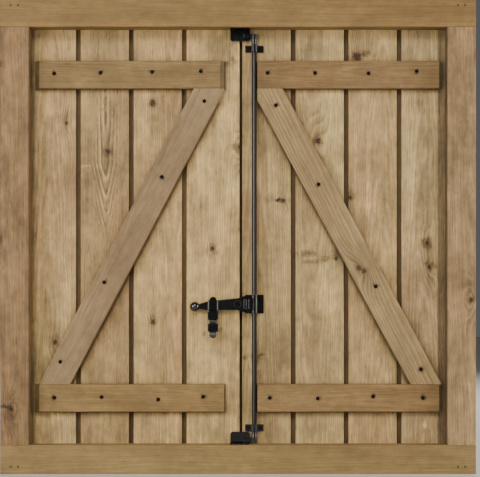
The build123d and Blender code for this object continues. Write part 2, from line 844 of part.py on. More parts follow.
rivet_seat_y = rod_y - hub_half
rivet_front_y = rivet_seat_y - rivet_head_height
rivet_back_y = rod_y + hub_half
with BuildPart() as pivot_rivet:
    with BuildSketch(Plane.XY.offset(handle_height)):
        with BuildLine():
            Polyline(
                (boss_x, rivet_front_y + rivet_dish_depth),
                (boss_x + rivet_dish_radius, rivet_front_y + rivet_dish_depth),
                (boss_x + rivet_dish_radius + rivet_dish_depth, rivet_front_y),
                (boss_x + rivet_head_radius - rivet_edge, rivet_front_y),
                (boss_x + rivet_head_radius, rivet_front_y + rivet_edge),
                (boss_x + rivet_head_radius, rivet_seat_y),
                (boss_x + rivet_radius, rivet_seat_y),
                (boss_x + rivet_radius, rivet_back_y + rivet_tail_height),
                (boss_x, rivet_back_y + rivet_tail_height),
                close=True,
            )
        make_face()
    revolve(axis=Axis((boss_x, 0, handle_height), (0, 1, 0)))
keep(pivot_rivet.part, "pivot_rivet")

drop = radians(lever_drop)
lever_direction = (-cos(drop), 0, -sin(drop))
lever_plane = Plane(
    origin=(boss_x, rod_y + lever_thickness / 2, handle_height),
    x_dir=lever_direction,
    z_dir=(0, -1, 0),
)


with BuildPart() as handle_lever:
    with BuildSketch(lever_plane):
        with BuildLine():
            Polyline(
                (0, lever_root_radius),
                (lever_arm, lever_arm_height / 2),
                (neck_reach, neck_height / 2),
                (ball_reach, neck_height / 2),
                (ball_reach, -neck_height / 2),
                (neck_reach, -neck_height / 2),
                (lever_arm, -lever_arm_height / 2),
                (0, -lever_root_radius),
                close=True,
            )
        make_face()
        Circle(lever_root_radius)
    extrude(amount=lever_thickness)
    chamfer(handle_lever.faces().filter_by(Axis.Y).edges(), length=lever_arris)
    with Locations((boss_x - ball_reach * cos(drop), rod_y, handle_height - ball_reach * sin(drop))):
        Sphere(ball_radius)
    with BuildSketch(lever_plane):
        Circle(rivet_radius + running_fit)
    extrude(amount=lever_thickness, mode=Mode.SUBTRACT)
keep(handle_lever.part, "handle_lever")


# Tilting catch: a bracket with one lug and a shelf for the lever, and a rocker on a pin

lever_low = lever_root_radius - (lever_root_radius - lever_arm_height / 2) * (
    boss_x - catch_x + catch_stem_width / 2
) / lever_arm
shelf_z = (
    handle_height
    - (boss_x - catch_x + catch_stem_width / 2) * tan(drop)
    - lever_low / cos(drop)
    - shelf_gap
)
shelf_front_y = rod_y - lever_thickness / 2 - shelf_gap
base_front_y = board_face_y - catch_base_thickness
base_low_z = catch_pivot_z - catch_base_drop
lug_low_z = catch_pivot_z - catch_barrel_radius
lug_high_z = catch_pivot_z + catch_barrel_radius
washer_y = back_y + washer_thickness
nut_y = washer_y + nut_height

with BuildPart() as catch_bracket:
    with BuildSketch(Plane.YZ.offset(catch_x - catch_stem_width / 2)):
        bar(base_front_y, board_face_y, base_low_z, shelf_z)
        bar(shelf_front_y, board_face_y, shelf_z - shelf_thickness, shelf_z)
    extrude(amount=catch_stem_width)
    with BuildSketch(Plane.YZ.offset(catch_x - lug_width / 2)):
        with Locations((catch_pivot_y, catch_pivot_z)):
            Circle(catch_barrel_radius)
        bar(catch_pivot_y, base_front_y + web, lug_low_z, lug_high_z)
        with Locations((catch_pivot_y, catch_pivot_z)):
            Circle(catch_pin_diameter / 2 + fixed_fit, mode=Mode.SUBTRACT)
    extrude(amount=lug_width)
    with BuildSketch(across(nut_y + stem_spare)):
        with Locations((catch_x, catch_pivot_z)):
            Circle(stem_diameter / 2)
    extrude(amount=nut_y + stem_spare - base_front_y)
keep(catch_bracket.part, "catch_bracket")

with BuildPart() as catch_pin:
    with BuildSketch(Plane.YZ.offset(catch_x - catch_stem_width / 2)):
        with Locations((catch_pivot_y, catch_pivot_z)):
            Circle(catch_pin_diameter / 2)
    extrude(amount=catch_stem_width)
keep(catch_pin.part, "catch_pin")

with BuildPart() as catch_washer:
    with BuildSketch(across(washer_y)):
        with Locations((catch_x, catch_pivot_z)):
            Circle(washer_diameter / 2)
            Circle(stem_diameter / 2 + screw_play, mode=Mode.SUBTRACT)
    extrude(amount=washer_thickness)
keep(catch_washer.part, "catch_washer")

with BuildPart() as catch_nut:
    with BuildSketch(across(nut_y)):
        with Locations((catch_x, catch_pivot_z)):
            RegularPolygon(nut_across_flats / 2, 6, major_radius=False)
            Circle(stem_diameter / 2 + fixed_fit, mode=Mode.SUBTRACT)
    extrude(amount=nut_height)
keep(catch_nut.part, "catch_nut")

head_top_z = handle_height + catch_top_rise
tail_y = catch_pivot_y - catch_tail_lead
tail_z = catch_pivot_z - catch_tail_drop
tail_low_z = tail_z - catch_tail_radius
block_start = catch_barrel_radius + catch_block_gap

with BuildPart() as rocker_stem:
    with BuildSketch(Plane.YZ.offset(catch_x - catch_stem_width / 2)):
        bar(catch_back_y - catch_stem_thickness, catch_back_y, catch_pivot_z, head_top_z)
        with Locations((catch_pivot_y, catch_pivot_z)):
            Circle(catch_barrel_radius)
        stem_front_y = catch_pivot_y - catch_stem_thickness / 2
        bar(stem_front_y, stem_front_y + catch_stem_thickness, tail_z, catch_pivot_z)
        with Locations((tail_y, tail_z)):
            Circle(catch_tail_radius)
    extrude(amount=catch_stem_width)
    with BuildSketch(across(board_face_y)):
        with Locations((catch_x, (head_top_z + tail_low_z) / 2)):
            SlotOverall(head_top_z - tail_low_z, catch_stem_width, rotation=90)
    extrude(amount=2 * member_depth, mode=Mode.INTERSECT)

head_block = (
    handle_height - catch_head_drop,
    handle_height + catch_head_rise,
    catch_back_y,
    catch_head_thickness,
    catch_head_bevel,
)
upper_block = (
    catch_pivot_z + block_start,
    catch_pivot_z + block_start + catch_block_height,
    catch_back_y,
    catch_block_thickness,
    catch_block_bevel,
)
lower_block = (
    catch_pivot_z - block_start - catch_block_height,
    catch_pivot_z - block_start,
    catch_pivot_y - catch_block_lead + catch_block_thickness,
    catch_block_thickness,
    catch_block_bevel,
)

with BuildPart() as catch_rocker:
    for low_z, high_z, block_back_y, thickness, bevel in (head_block, upper_block, lower_block):
        with BuildSketch(across(block_back_y)):
            bar(catch_x - catch_width / 2, catch_x + catch_width / 2, low_z, high_z)
        extrude(amount=thickness)
        room_face = catch_rocker.faces(Select.LAST).sort_by(Axis.Y)[0]
        chamfer(room_face.edges(), length=bevel)
    add(rocker_stem.part)
    with BuildSketch(Plane.YZ.offset(catch_x - lug_width / 2 - lug_play)):
        slot_top_z = lug_high_z + lug_slot_margin
        slot_low_z = lug_low_z - lug_slot_margin
        bar(catch_pivot_y - catch_width, board_face_y, slot_low_z, slot_top_z)
        pocket_y = catch_pivot_y - lug_slot_margin
        bar(pocket_y, board_face_y, catch_pivot_z - lug_pocket_drop, catch_pivot_z)
    extrude(amount=lug_width + 2 * lug_play, mode=Mode.SUBTRACT)
    with BuildSketch(Plane.YZ.offset(catch_x - catch_width)):
        with Locations((catch_pivot_y, catch_pivot_z)):
            Circle(catch_pin_diameter / 2 + running_fit)
    extrude(amount=2 * catch_width, mode=Mode.SUBTRACT)
keep(catch_rocker.part, "catch_rocker")


os.makedirs("parts", exist_ok=True)
for piece in pieces:
    export_step(piece, f"parts/{piece.label}.step")
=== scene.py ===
import math

import bmesh
import bpy
from mathutils import Matrix, Vector


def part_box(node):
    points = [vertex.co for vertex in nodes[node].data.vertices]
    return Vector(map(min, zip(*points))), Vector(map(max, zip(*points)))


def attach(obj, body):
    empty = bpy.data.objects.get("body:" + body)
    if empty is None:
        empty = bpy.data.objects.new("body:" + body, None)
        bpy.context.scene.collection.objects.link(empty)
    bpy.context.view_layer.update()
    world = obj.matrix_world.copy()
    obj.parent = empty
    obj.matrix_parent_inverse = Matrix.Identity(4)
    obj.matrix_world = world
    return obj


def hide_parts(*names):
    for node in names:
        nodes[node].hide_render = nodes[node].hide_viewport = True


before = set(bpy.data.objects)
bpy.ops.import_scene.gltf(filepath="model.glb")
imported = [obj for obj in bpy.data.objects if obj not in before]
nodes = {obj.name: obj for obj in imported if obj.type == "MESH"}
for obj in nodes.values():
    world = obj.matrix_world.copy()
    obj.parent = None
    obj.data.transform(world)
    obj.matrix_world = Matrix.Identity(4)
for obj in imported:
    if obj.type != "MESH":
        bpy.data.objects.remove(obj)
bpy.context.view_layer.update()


# Shader node helpers

MIX_FACTOR, MIX_FIRST, MIX_SECOND, MIX_RESULT = 0, 6, 7, 2
NOISE_LOW, NOISE_HIGH = 0.3, 0.7
ZERO = (0.0, 0.0, 0.0)


def add_node(tree, kind, inputs=None, **settings):
    """A node with its settings, and its inputs set by value or joined to another socket."""
    node = tree.nodes.new(kind)
    for key, value in settings.items():
        setattr(node, key, value)
    for key, value in (inputs or {}).items():
        socket = node.inputs[key]
        if isinstance(value, bpy.types.NodeSocket):
            tree.links.new(value, socket)
        else:
            socket.default_value = value
    return node


def calc(tree, operation, first, second=0.0, third=0.0):
    """One step of arithmetic."""
    inputs = {0: first, 1: second, 2: third}
    return add_node(tree, "ShaderNodeMath", inputs, operation=operation).outputs[0]


def product(tree, *values):
    """All the values multiplied together."""
    total = values[0]
    for value in values[1:]:
        total = calc(tree, "MULTIPLY", total, value)
    return total


def vector_calc(tree, operation, first, second=ZERO, third=ZERO):
    """One step of arithmetic on vectors."""
    inputs = {0: first, 1: second, 2: third}
    return add_node(tree, "ShaderNodeVectorMath", inputs, operation=operation).outputs["Vector"]


def vector_measure(tree, operation, first, second=ZERO):
    """A number taken from vectors, such as a length or a dot product."""
    inputs = {0: first, 1: second}
    return add_node(tree, "ShaderNodeVectorMath", inputs, operation=operation).outputs["Value"]


def stretch(tree, vector, scale, shift=ZERO):
    """A vector with each part scaled and moved."""
    return vector_calc(tree, "MULTIPLY_ADD", vector, scale, shift)


def turn_about_y(tree, vector, angle):
    """A vector turned about the Y axis."""
    inputs = {"Vector": vector, "Angle": angle}
    return add_node(tree, "ShaderNodeVectorRotate", inputs, rotation_type="Y_AXIS").outputs[0]


def split(tree, vector):
    """The three parts of a vector."""
    return add_node(tree, "ShaderNodeSeparateXYZ", {0: vector}).outputs


def blend_colour(tree, factor, first, second):
    """Mixes two colours."""
    inputs = {MIX_FACTOR: factor, MIX_FIRST: first, MIX_SECOND: second}
    return add_node(tree, "ShaderNodeMix", inputs, data_type="RGBA").outputs[MIX_RESULT]


def spread(tree, value, low, high, to_low=0.0, to_high=1.0, smooth=False):
    """Maps a value from one range to another and holds it there."""
    inputs = {
        "Value": value,
        "From Min": low,
        "From Max": high,
        "To Min": to_low,
        "To Max": to_high,
    }
    kind = "SMOOTHSTEP" if smooth else "LINEAR"
    return add_node(tree, "ShaderNodeMapRange", inputs, interpolation_type=kind).outputs[0]


def noise(tree, vector, scale=1.0, detail=2.0, roughness=0.5):
    """Soft noise, nearly all of it between NOISE_LOW and NOISE_HIGH."""
    inputs = {"Vector": vector, "Scale": scale, "Detail": detail, "Roughness": roughness}
    return add_node(tree, "ShaderNodeTexNoise", inputs).outputs["Fac"]


def full_noise(tree, vector, scale=1.0, detail=2.0, roughness=0.5, low=0.0, high=1.0):
    """Soft noise that fills a range."""
    value = noise(tree, vector, scale, detail, roughness)
    return spread(tree, value, NOISE_LOW, NOISE_HIGH, low, high)


def bell(tree, distance):
    """One at the middle, falling off smoothly with distance."""
    return calc(tree, "EXPONENT", product(tree, distance, distance, -0.5))


def new_group(name, inputs, outputs):
    """A node group with named sockets: inputs as (name, type, default), outputs as (name, type)."""
    tree = bpy.data.node_groups.new(name, "ShaderNodeTree")
    for label, kind, default in inputs:
        socket = tree.interface.new_socket(label, in_out="INPUT", socket_type="NodeSocket" + kind)
        socket.default_value = default
    for label, kind in outputs:
        tree.interface.new_socket(label, in_out="OUTPUT", socket_type="NodeSocket" + kind)
    start = tree.nodes.new("NodeGroupInput")
    end = tree.nodes.new("NodeGroupOutput")
    return tree, start.outputs, end.inputs


def use_group(tree, group, values):
    """Places a group in a material."""
    return add_node(tree, "ShaderNodeGroup", values, node_tree=group).outputs


def begin_material(name):
    """An empty node material, its tree and its Principled shader."""
    material = bpy.data.materials.new(name)
    material.use_nodes = True
    tree = material.node_tree
    return material, tree, tree.nodes["Principled BSDF"]


def add_bump(tree, shader, height, strength, distance):
    """Gives a shader the small relief of a surface height."""
    inputs = {"Height": height, "Strength": strength, "Distance": distance}
    bump = add_node(tree, "ShaderNodeBump", inputs)
    tree.links.new(bump.outputs[0], shader.inputs["Normal"])


def srgb(red, green, blue):
    """A colour given as it looks on screen, 0 to 255."""
    def linear(value):
        value = value / 255
        return value / 12.92 if value <= 0.04045 else ((value + 0.055) / 1.055) ** 2.4
    return (linear(red), linear(green), linear(blue), 1.0)


# Timber: growth rings cut by the board's face, knots that push them aside, fibre and tone.
# Shapes say how far a thing reaches along X, Y and Z against its own size; 0 leaves that axis out.

KNOT_SHAPE = (1.0, 0.0, 1.25)
KNOT_PUSH_SHAPE = (1.6, 0.0, 4.5)
KNOT_TAIL_SHAPE = (0.9, 0.0, 5.5)
KNOT_WOBBLE = 0.3
FINE_SWAY = 0.0009
GRAIN_NOISES = (
    ("Fibre", (520.0, 520.0, 11.0), 3.0),
    ("Streak", (130.0, 130.0, 2.6), 3.0),
    ("Cloud", (19.0, 19.0, 8.0), 5.0),
    ("Mottle", (46.0, 46.0, 32.0), 5.0),
    ("Tone", (6.0, 6.0, 1.8), 2.0),
)
GRAIN_OUTPUTS = ("Late Rings", "Pale Rings", "Fibre", "Streak", "Cloud", "Mottle", "Tone", "Fleck")
LOOK_INPUTS = ("Contrast", "Ring Strength", "Early", "Late", "Pale", "Tint", "Knot", "End Grain")
SHADE_RANGES = {
    "Fibre": (0.82, 1.13),
    "Streak": (0.86, 1.1),
    "Cloud": (0.66, 1.22),
    "Mottle": (0.8, 1.15),
    "Fleck": (1.0, 0.72),
}
HEIGHT_WEIGHTS = (("Streak", 0.3), ("Late Rings", 0.35), ("Heart", 0.5))


def reach(tree, offset, shape):
    """How far out a place lies, measured against a shape."""
    scale = tuple(1 / width if width else 0 for width in shape)
    return vector_measure(tree, "LENGTH", stretch(tree, offset, scale))


def make_knot_group():
    """A knot: its push on the rings, how near it is, its heart, its rim and the streak by it."""
    tree, given, result = new_group(
        "knot",
        [
            ("Place", "Vector", (0, 0, 0)),
            ("Centre", "Vector", (0, 0, 0)),
            ("Size", "Float", 0.006),
            ("Push", "Float", 0.006),
        ],
        [(label, "Float") for label in ("Bend", "Near", "Heart", "Rim", "Tail")],
    )
    offset = vector_calc(tree, "SUBTRACT", given["Place"], given["Centre"])
    wobble = full_noise(tree, given["Place"], 190.0, 3.0, 0.6, -KNOT_WOBBLE, KNOT_WOBBLE)
    distance, pushed, tail = (
        calc(tree, "DIVIDE", reach(tree, offset, shape), given["Size"])
        for shape in (KNOT_SHAPE, KNOT_PUSH_SHAPE, KNOT_TAIL_SHAPE)
    )
    ragged = calc(tree, "ADD", distance, wobble)
    near = bell(tree, pushed)
    tree.links.new(near, result["Near"])
    tree.links.new(product(tree, near, given["Push"]), result["Bend"])
    tree.links.new(spread(tree, ragged, 0.95, 0.4, smooth=True), result["Heart"])
    tree.links.new(spread(tree, ragged, 1.7, 0.5, smooth=True), result["Rim"])
    tree.links.new(bell(tree, tail), result["Tail"])
    return tree


def make_mark_group():
    """A soft ragged patch, for scars, resin and stains, and for painted shade and highlights."""
    tree, given, result = new_group(
        "mark",
        [
            ("Place", "Vector", (0, 0, 0)),
            ("Centre", "Vector", (0, 0, 0)),
            ("Widths", "Vector", (0.01, 1.0, 0.01)),
            ("Ragged", "Float", 0.5),
        ],
        [("Mask", "Float")],
    )
    offset = vector_calc(tree, "SUBTRACT", given["Place"], given["Centre"])
    scaled = vector_calc(tree, "DIVIDE", offset, given["Widths"])
    distance = vector_measure(tree, "LENGTH", stretch(tree, scaled, (1.0, 0.0, 1.0)))
    grained = stretch(tree, given["Place"], (85.0, 85.0, 60.0))
    ragged = full_noise(tree, grained, 1.0, 4.0, 0.55, -1.0, 1.0)
    edge = calc(tree, "ADD", distance, product(tree, ragged, given["Ragged"]))
    tree.links.new(spread(tree, edge, 1.1, 0.2, smooth=True), result["Mask"])
    return tree


def make_corner_group():
    """Painted shade on a timber just outside the edge of another laid over it."""
    tree, given, result = new_group(
        "corner",
        [
            ("Place", "Vector", (0, 0, 0)),
            ("Centre", "Vector", (0, 0, 0)),
            ("Half Size", "Vector", (0.1, 10.0, 0.1)),
            ("Lean", "Float", 0.0),
            ("Reach", "Float", 0.004),
        ],
        [("Mask", "Float")],
    )
    offset = vector_calc(tree, "SUBTRACT", given["Place"], given["Centre"])
    folded = vector_calc(tree, "ABSOLUTE", turn_about_y(tree, offset, given["Lean"]))
    beyond = vector_calc(tree, "SUBTRACT", folded, given["Half Size"])
    beyond = vector_calc(tree, "MAXIMUM", beyond, ZERO)
    steps = calc(tree, "DIVIDE", vector_measure(tree, "LENGTH", beyond), given["Reach"])
    tree.links.new(calc(tree, "EXPONENT", product(tree, steps, -1.0)), result["Mask"])
    return tree


def make_grain_group():
    """Growth rings, fibre and slow changes of tone, for grain that runs along Z of Place."""
    tree, given, result = new_group(
        "grain",
        [
            ("Place", "Vector", (0, 0, 0)),
            ("Pith X", "Float", 0.0),
            ("Pith Y", "Float", 0.08),
            ("Taper", "Float", 0.02),
            ("Taper Top", "Float", 100.0),
            ("Ring Width", "Float", 0.002),
            ("Wander", "Float", 0.006),
            ("Bend", "Float", 0.0),
        ],
        [(label, "Float") for label in GRAIN_OUTPUTS],
    )
    place = given["Place"]
    parts = split(tree, place)
    sway = full_noise(tree, stretch(tree, place, (5.0, 5.0, 1.5)), detail=1.0, low=-1.0)
    fine_sway = full_noise(tree, stretch(tree, place, (30.0, 30.0, 7.0)), low=-1.0)
    across = calc(tree, "SUBTRACT", parts[0], given["Pith X"])
    across = calc(tree, "ADD", across, product(tree, sway, given["Wander"]))
    deep = calc(tree, "SUBTRACT", parts[1], given["Pith Y"])
    squares = calc(tree, "ADD", product(tree, across, across), product(tree, deep, deep))
    radius = calc(tree, "SQRT", squares)
    height = calc(tree, "MINIMUM", parts[2], given["Taper Top"])
    radius = calc(tree, "ADD", radius, product(tree, height, given["Taper"]))
    radius = calc(tree, "ADD", radius, given["Bend"])
    radius = calc(tree, "ADD", radius, product(tree, fine_sway, FINE_SWAY))
    ring = calc(tree, "FRACT", calc(tree, "DIVIDE", radius, given["Ring Width"]))
    for label, rise, fall in (
        ("Late Rings", (0.45, 0.88), (1.0, 0.92)),
        ("Pale Rings", (0.02, 0.12), (0.42, 0.16)),
    ):
        rising = spread(tree, ring, *rise, smooth=True)
        falling = spread(tree, ring, *fall, smooth=True)
        tree.links.new(product(tree, rising, falling), result[label])
    for label, scale, detail in GRAIN_NOISES:
        value = full_noise(tree, stretch(tree, place, scale), 1.0, detail, 0.62)
        tree.links.new(value, result[label])
    fleck = noise(tree, stretch(tree, place, (300.0, 300.0, 34.0)))
    tree.links.new(spread(tree, fleck, 0.6, 0.72), result["Fleck"])
    return tree


def make_timber_group():
    """Colour, roughness and surface height of stained softwood from its grain, knots and marks, and
    painted shade beside the timbers laid on it.
    """
    tree, given, result = new_group(
        "timber",
        [
            ("Late Rings", "Float", 0.0),
            ("Pale Rings", "Float", 0.0),
            ("Fibre", "Float", 0.5),
            ("Streak", "Float", 0.5),
            ("Cloud", "Float", 0.5),
            ("Mottle", "Float", 0.5),
            ("Tone", "Float", 0.5),
            ("Fleck", "Float", 0.0),
            ("End", "Float", 0.0),
            ("Heart", "Float", 0.0),
            ("Rim", "Float", 0.0),
            ("Tail", "Float", 0.0),
            ("Mark", "Float", 0.0),
            ("Corner Shade", "Float", 0.0),
            ("Contrast", "Float", 1.0),
            ("Ring Strength", "Float", 0.5),
            ("Early", "Color", (0.6, 0.45, 0.25, 1)),
            ("Late", "Color", (0.4, 0.27, 0.12, 1)),
            ("Pale", "Color", (0.7, 0.55, 0.35, 1)),
            ("Tint", "Color", (0.6, 0.42, 0.3, 1)),
            ("Knot", "Color", (0.09, 0.05, 0.025, 1)),
            ("End Grain", "Color", (0.16, 0.14, 0.08, 1)),
        ],
        [("Color", "Color"), ("Roughness", "Float"), ("Height", "Float")],
    )
    base = blend_colour(tree, given["Tone"], given["Early"], given["Tint"])
    depth = spread(tree, given["Cloud"], 0.0, 1.0, 0.35, 1.1)
    late = product(tree, given["Late Rings"], given["Ring Strength"], depth)
    colour = blend_colour(tree, late, base, given["Late"])
    pale = product(tree, given["Pale Rings"], given["Ring Strength"], 0.9)
    colour = blend_colour(tree, pale, colour, given["Pale"])
    colour = blend_colour(tree, product(tree, given["End"], 0.7), colour, given["End Grain"])
    shade = product(tree, *(
        spread(tree, given[label], 0.0, 1.0, *ends) for label, ends in SHADE_RANGES.items()
    ))
    shade = calc(tree, "MULTIPLY_ADD", calc(tree, "SUBTRACT", shade, 1.0), given["Contrast"], 1.0)
    # Painted shade darkens the wood just beside the timbers laid on this one; tails and marks darken
    # it too.
    shade = product(
        tree,
        shade,
        spread(tree, given["Tail"], 0.0, 1.0, 1.0, 0.66),
        calc(tree, "SUBTRACT", 1.0, product(tree, given["Mark"], 0.62)),
        calc(tree, "SUBTRACT", 1.0, product(tree, given["Corner Shade"], 0.7)),
    )
    shade_inputs = {0: colour, "Scale": shade}
    darkened = add_node(tree, "ShaderNodeVectorMath", shade_inputs, operation="SCALE").outputs[0]
    rim = blend_colour(tree, product(tree, given["Rim"], 0.6), darkened, given["Late"])
    heart = blend_colour(tree, product(tree, given["Heart"], 0.88), rim, given["Knot"])
    tree.links.new(heart, result["Color"])
    rough = spread(tree, given["Fibre"], 0.0, 1.0, 0.74, 0.6)
    tree.links.new(calc(tree, "SUBTRACT", rough, product(tree, late, 0.1)), result["Roughness"])
    height = product(tree, given["Fibre"], 0.5)
    for label, weight in HEIGHT_WEIGHTS:
        height = calc(tree, "ADD", height, product(tree, given[label], weight))
    tree.links.new(height, result["Height"])
    return tree


knot_group = make_knot_group()
mark_group = make_mark_group()
corner_shade_group = make_corner_group()
grain_group = make_grain_group()
timber_group = make_timber_group()

# Depths along Y: the boards' room face, and where the edges of boards and cover strip get painted
# shade, for the dark deep in the grooves and the meeting gap
INNER_FACE = 0.015
CHANNEL = (0.0168, 0.0318)
STRIP_CHANNEL = (-1.0, 0.0362)
CHANNEL_FADE_IN, CHANNEL_FADE_OUT = 0.0012, 0.0004
CHANNEL_SHADE = 0.85
SHADE_ENDS, SHADE_FULL = INNER_FACE + 0.0015, INNER_FACE + 0.0005
# A patch wider than this has a smooth edge
BROAD_PATCH = 0.04
SMOOTH_EDGE, RAGGED_EDGE = 0.15, 0.5
KNOT_RING_BOOST = 0.5


def gather_knots(tree, turned, turn, knots):
    """The push of all the knots of a timber together, and their masks."""
    bend = 0.0
    masks = dict.fromkeys(("Near", "Heart", "Rim", "Tail"), 0.0)
    for x, z, size, push in knots:
        centre = turn @ Vector((x, 0.0, z))
        values = {"Place": turned, "Centre": centre, "Size": size, "Push": push}
        knot = use_group(tree, knot_group, values)
        bend = calc(tree, "ADD", bend, knot["Bend"])
        for label in masks:
            masks[label] = calc(tree, "MAXIMUM", masks[label], knot[label])
    return bend, masks


def gather_marks(tree, place, marks):
    """The strength of all the marks of a timber together."""
    total = 0.0
    for x, z, width, height, strength in marks:
        values = {
            "Place": place,
            "Centre": (x, 0.0, z),
            "Widths": (width, 1.0, height),
            "Ragged": SMOOTH_EDGE if width > BROAD_PATCH else RAGGED_EDGE,
        }
        mask = use_group(tree, mark_group, values)["Mask"]
        total = calc(tree, "ADD", total, product(tree, mask, strength))
    return total


def gather_corners(tree, place, corners):
    """The shade beside the timbers next to this one, on its room side only."""
    deepest = 0.0
    for centre, half_size, lean, spill, strength in corners:
        values = {
            "Place": place,
            "Centre": centre,
            "Half Size": half_size,
            "Lean": lean,
            "Reach": spill,
        }
        mask = use_group(tree, corner_shade_group, values)["Mask"]
        deepest = calc(tree, "MAXIMUM", deepest, product(tree, mask, strength))
    if corners:
        room_side = spread(tree, split(tree, place)[1], SHADE_ENDS, SHADE_FULL)
        deepest = product(tree, deepest, room_side)
    return deepest


def timber_material(name, look, lean=0.0, shift=(0, 0, 0), pith=(0.0, 0.08), taper=0.01,
                    taper_top=50.0, ring_width=0.002, wander=0.006, knots=(), marks=(), corners=(),
                    focus=None, channel=None):
    """Softwood whose grain runs upright, or leans by an angle towards +X."""
    material, tree, shader = begin_material(name)
    coordinates = add_node(tree, "ShaderNodeTexCoord").outputs
    place = coordinates["Object"]
    turned = turn_about_y(tree, place, -lean)
    turn = Matrix.Rotation(-lean, 3, "Y")
    bend, knot_masks = gather_knots(tree, turned, turn, knots)
    near_knot = knot_masks.pop("Near")
    grain = use_group(tree, grain_group, {
        "Place": stretch(tree, turned, (1.0, 1.0, 1.0), shift),
        "Pith X": pith[0] + shift[0],
        "Pith Y": pith[1] + shift[1],
        "Taper": taper,
        "Taper Top": taper_top + shift[2],
        "Ring Width": ring_width,
        "Wander": wander,
        "Bend": bend,
    })
    values = {
        **knot_masks,
        **{label: grain[label] for label in GRAIN_OUTPUTS},
        **{label: look[label] for label in LOOK_INPUTS},
        "Mark": gather_marks(tree, place, marks),
        "Corner Shade": gather_corners(tree, place, corners),
    }
    rings = look["Ring Strength"]
    if focus:
        x, z, width, height = focus
        focus_values = {"Place": place, "Centre": (x, 0.0, z), "Widths": (width, 1.0, height)}
        near = use_group(tree, mark_group, focus_values)["Mask"]
        values["Ring Strength"] = spread(tree, near, 0.05, 0.55, 0.08, 1.0)
    elif knots:
        values["Ring Strength"] = spread(tree, near_knot, 0.0, 1.0, rings, rings + KNOT_RING_BOOST)
    along = turn.inverted() @ Vector((0.0, 0.0, 1.0))
    facing = vector_measure(tree, "DOT_PRODUCT", coordinates["Normal"], along)
    values["End"] = spread(tree, calc(tree, "ABSOLUTE", facing), 0.45, 0.85)
    timber = use_group(tree, timber_group, values)
    colour = timber["Color"]
    # Painted shade: edges deep in the grooves and in the meeting gap are darkened towards a dark
    # brown.
    if channel:
        start, end = channel
        deep = split(tree, place)[1]
        inside = spread(tree, deep, start, start + CHANNEL_FADE_IN)
        before = spread(tree, deep, end + CHANNEL_FADE_OUT, end)
        brown = blend_colour(tree, CHANNEL_SHADE, colour, look["Recess Shade"])
        colour = blend_colour(tree, product(tree, inside, before), colour, brown)
    tree.links.new(colour, shader.inputs["Base Color"])
    tree.links.new(timber["Roughness"], shader.inputs["Roughness"])
    shader.inputs["Specular IOR Level"].default_value = 0.3
    add_bump(tree, shader, timber["Height"], 0.4, 0.0007)
    return material


def shaded(look, red, green, blue):
    """The same timber, a little darker, lighter or of another tint."""
    tinted = dict(look)
    for key, value in look.items():
        if isinstance(value, tuple):
            tinted[key] = (value[0] * red, value[1] * green, value[2] * blue, 1.0)
    return tinted


board_look = {
    "Early": srgb(203, 174, 115),
    "Late": srgb(128, 96, 58),
    "Pale": srgb(226, 200, 146),
    "Tint": srgb(181, 145, 99),
    "Knot": srgb(48, 34, 20),
    "End Grain": srgb(120, 100, 66),
    # The colour of the painted shade deep in the grooves and the meeting gap.
    "Recess Shade": srgb(60, 42, 21),
    "Contrast": 1.1,
    "Ring Strength": 0.26,
}
ledge_look = {
    "Early": srgb(158, 126, 78),
    "Late": srgb(104, 74, 38),
    "Pale": srgb(176, 146, 96),
    "Tint": srgb(140, 106, 64),
    "Knot": srgb(62, 42, 26),
    "End Grain": srgb(84, 78, 54),
    "Contrast": 0.75,
    "Ring Strength": 0.22,
}
head_look = {
    "Early": srgb(156, 124, 76),
    "Late": srgb(108, 78, 40),
    "Pale": srgb(170, 140, 90),
    "Tint": srgb(142, 108, 66),
    "Knot": srgb(44, 27, 14),
    "End Grain": srgb(100, 82, 52),
    "Contrast": 0.65,
    "Ring Strength": 0.2,
}
jamb_look = {
    "Early": srgb(170, 138, 94),
    "Late": srgb(118, 86, 50),
    "Pale": srgb(188, 158, 112),
    "Tint": srgb(150, 116, 76),
    "Knot": srgb(48, 30, 16),
    "End Grain": srgb(110, 90, 60),
    "Contrast": 1.15,
    "Ring Strength": 0.24,
}

# Metres a pixel at the boards' face, and one pixel of the photograph with its place there
BOARD_STEP = 0.0025305
BOARD_PX = (265, 290)
BOARD_XZ = (0.0681, 0.460)


def board_place(px, py):
    """Where a spot of the photograph, in pixels, lies on the boards' face, as x and z."""
    x = (px - BOARD_PX[0]) * BOARD_STEP + BOARD_XZ[0]
    return x, (BOARD_PX[1] - py) * BOARD_STEP + BOARD_XZ[1]


def knots_at(*knots):
    """Knots on the boards' face: each a place in pixels, a size and a push on the rings."""
    return [(*board_place(px, py), size, push) for px, py, size, push in knots]


def marks_at(*marks):
    """Patches on the boards' face: each a place, a half width and a half height in pixels, and
    a strength, darker over zero and paler below."""
    return [
        (*board_place(px, py), half_width * BOARD_STEP, half_height * BOARD_STEP, strength)
        for px, py, half_width, half_height, strength in marks
    ]


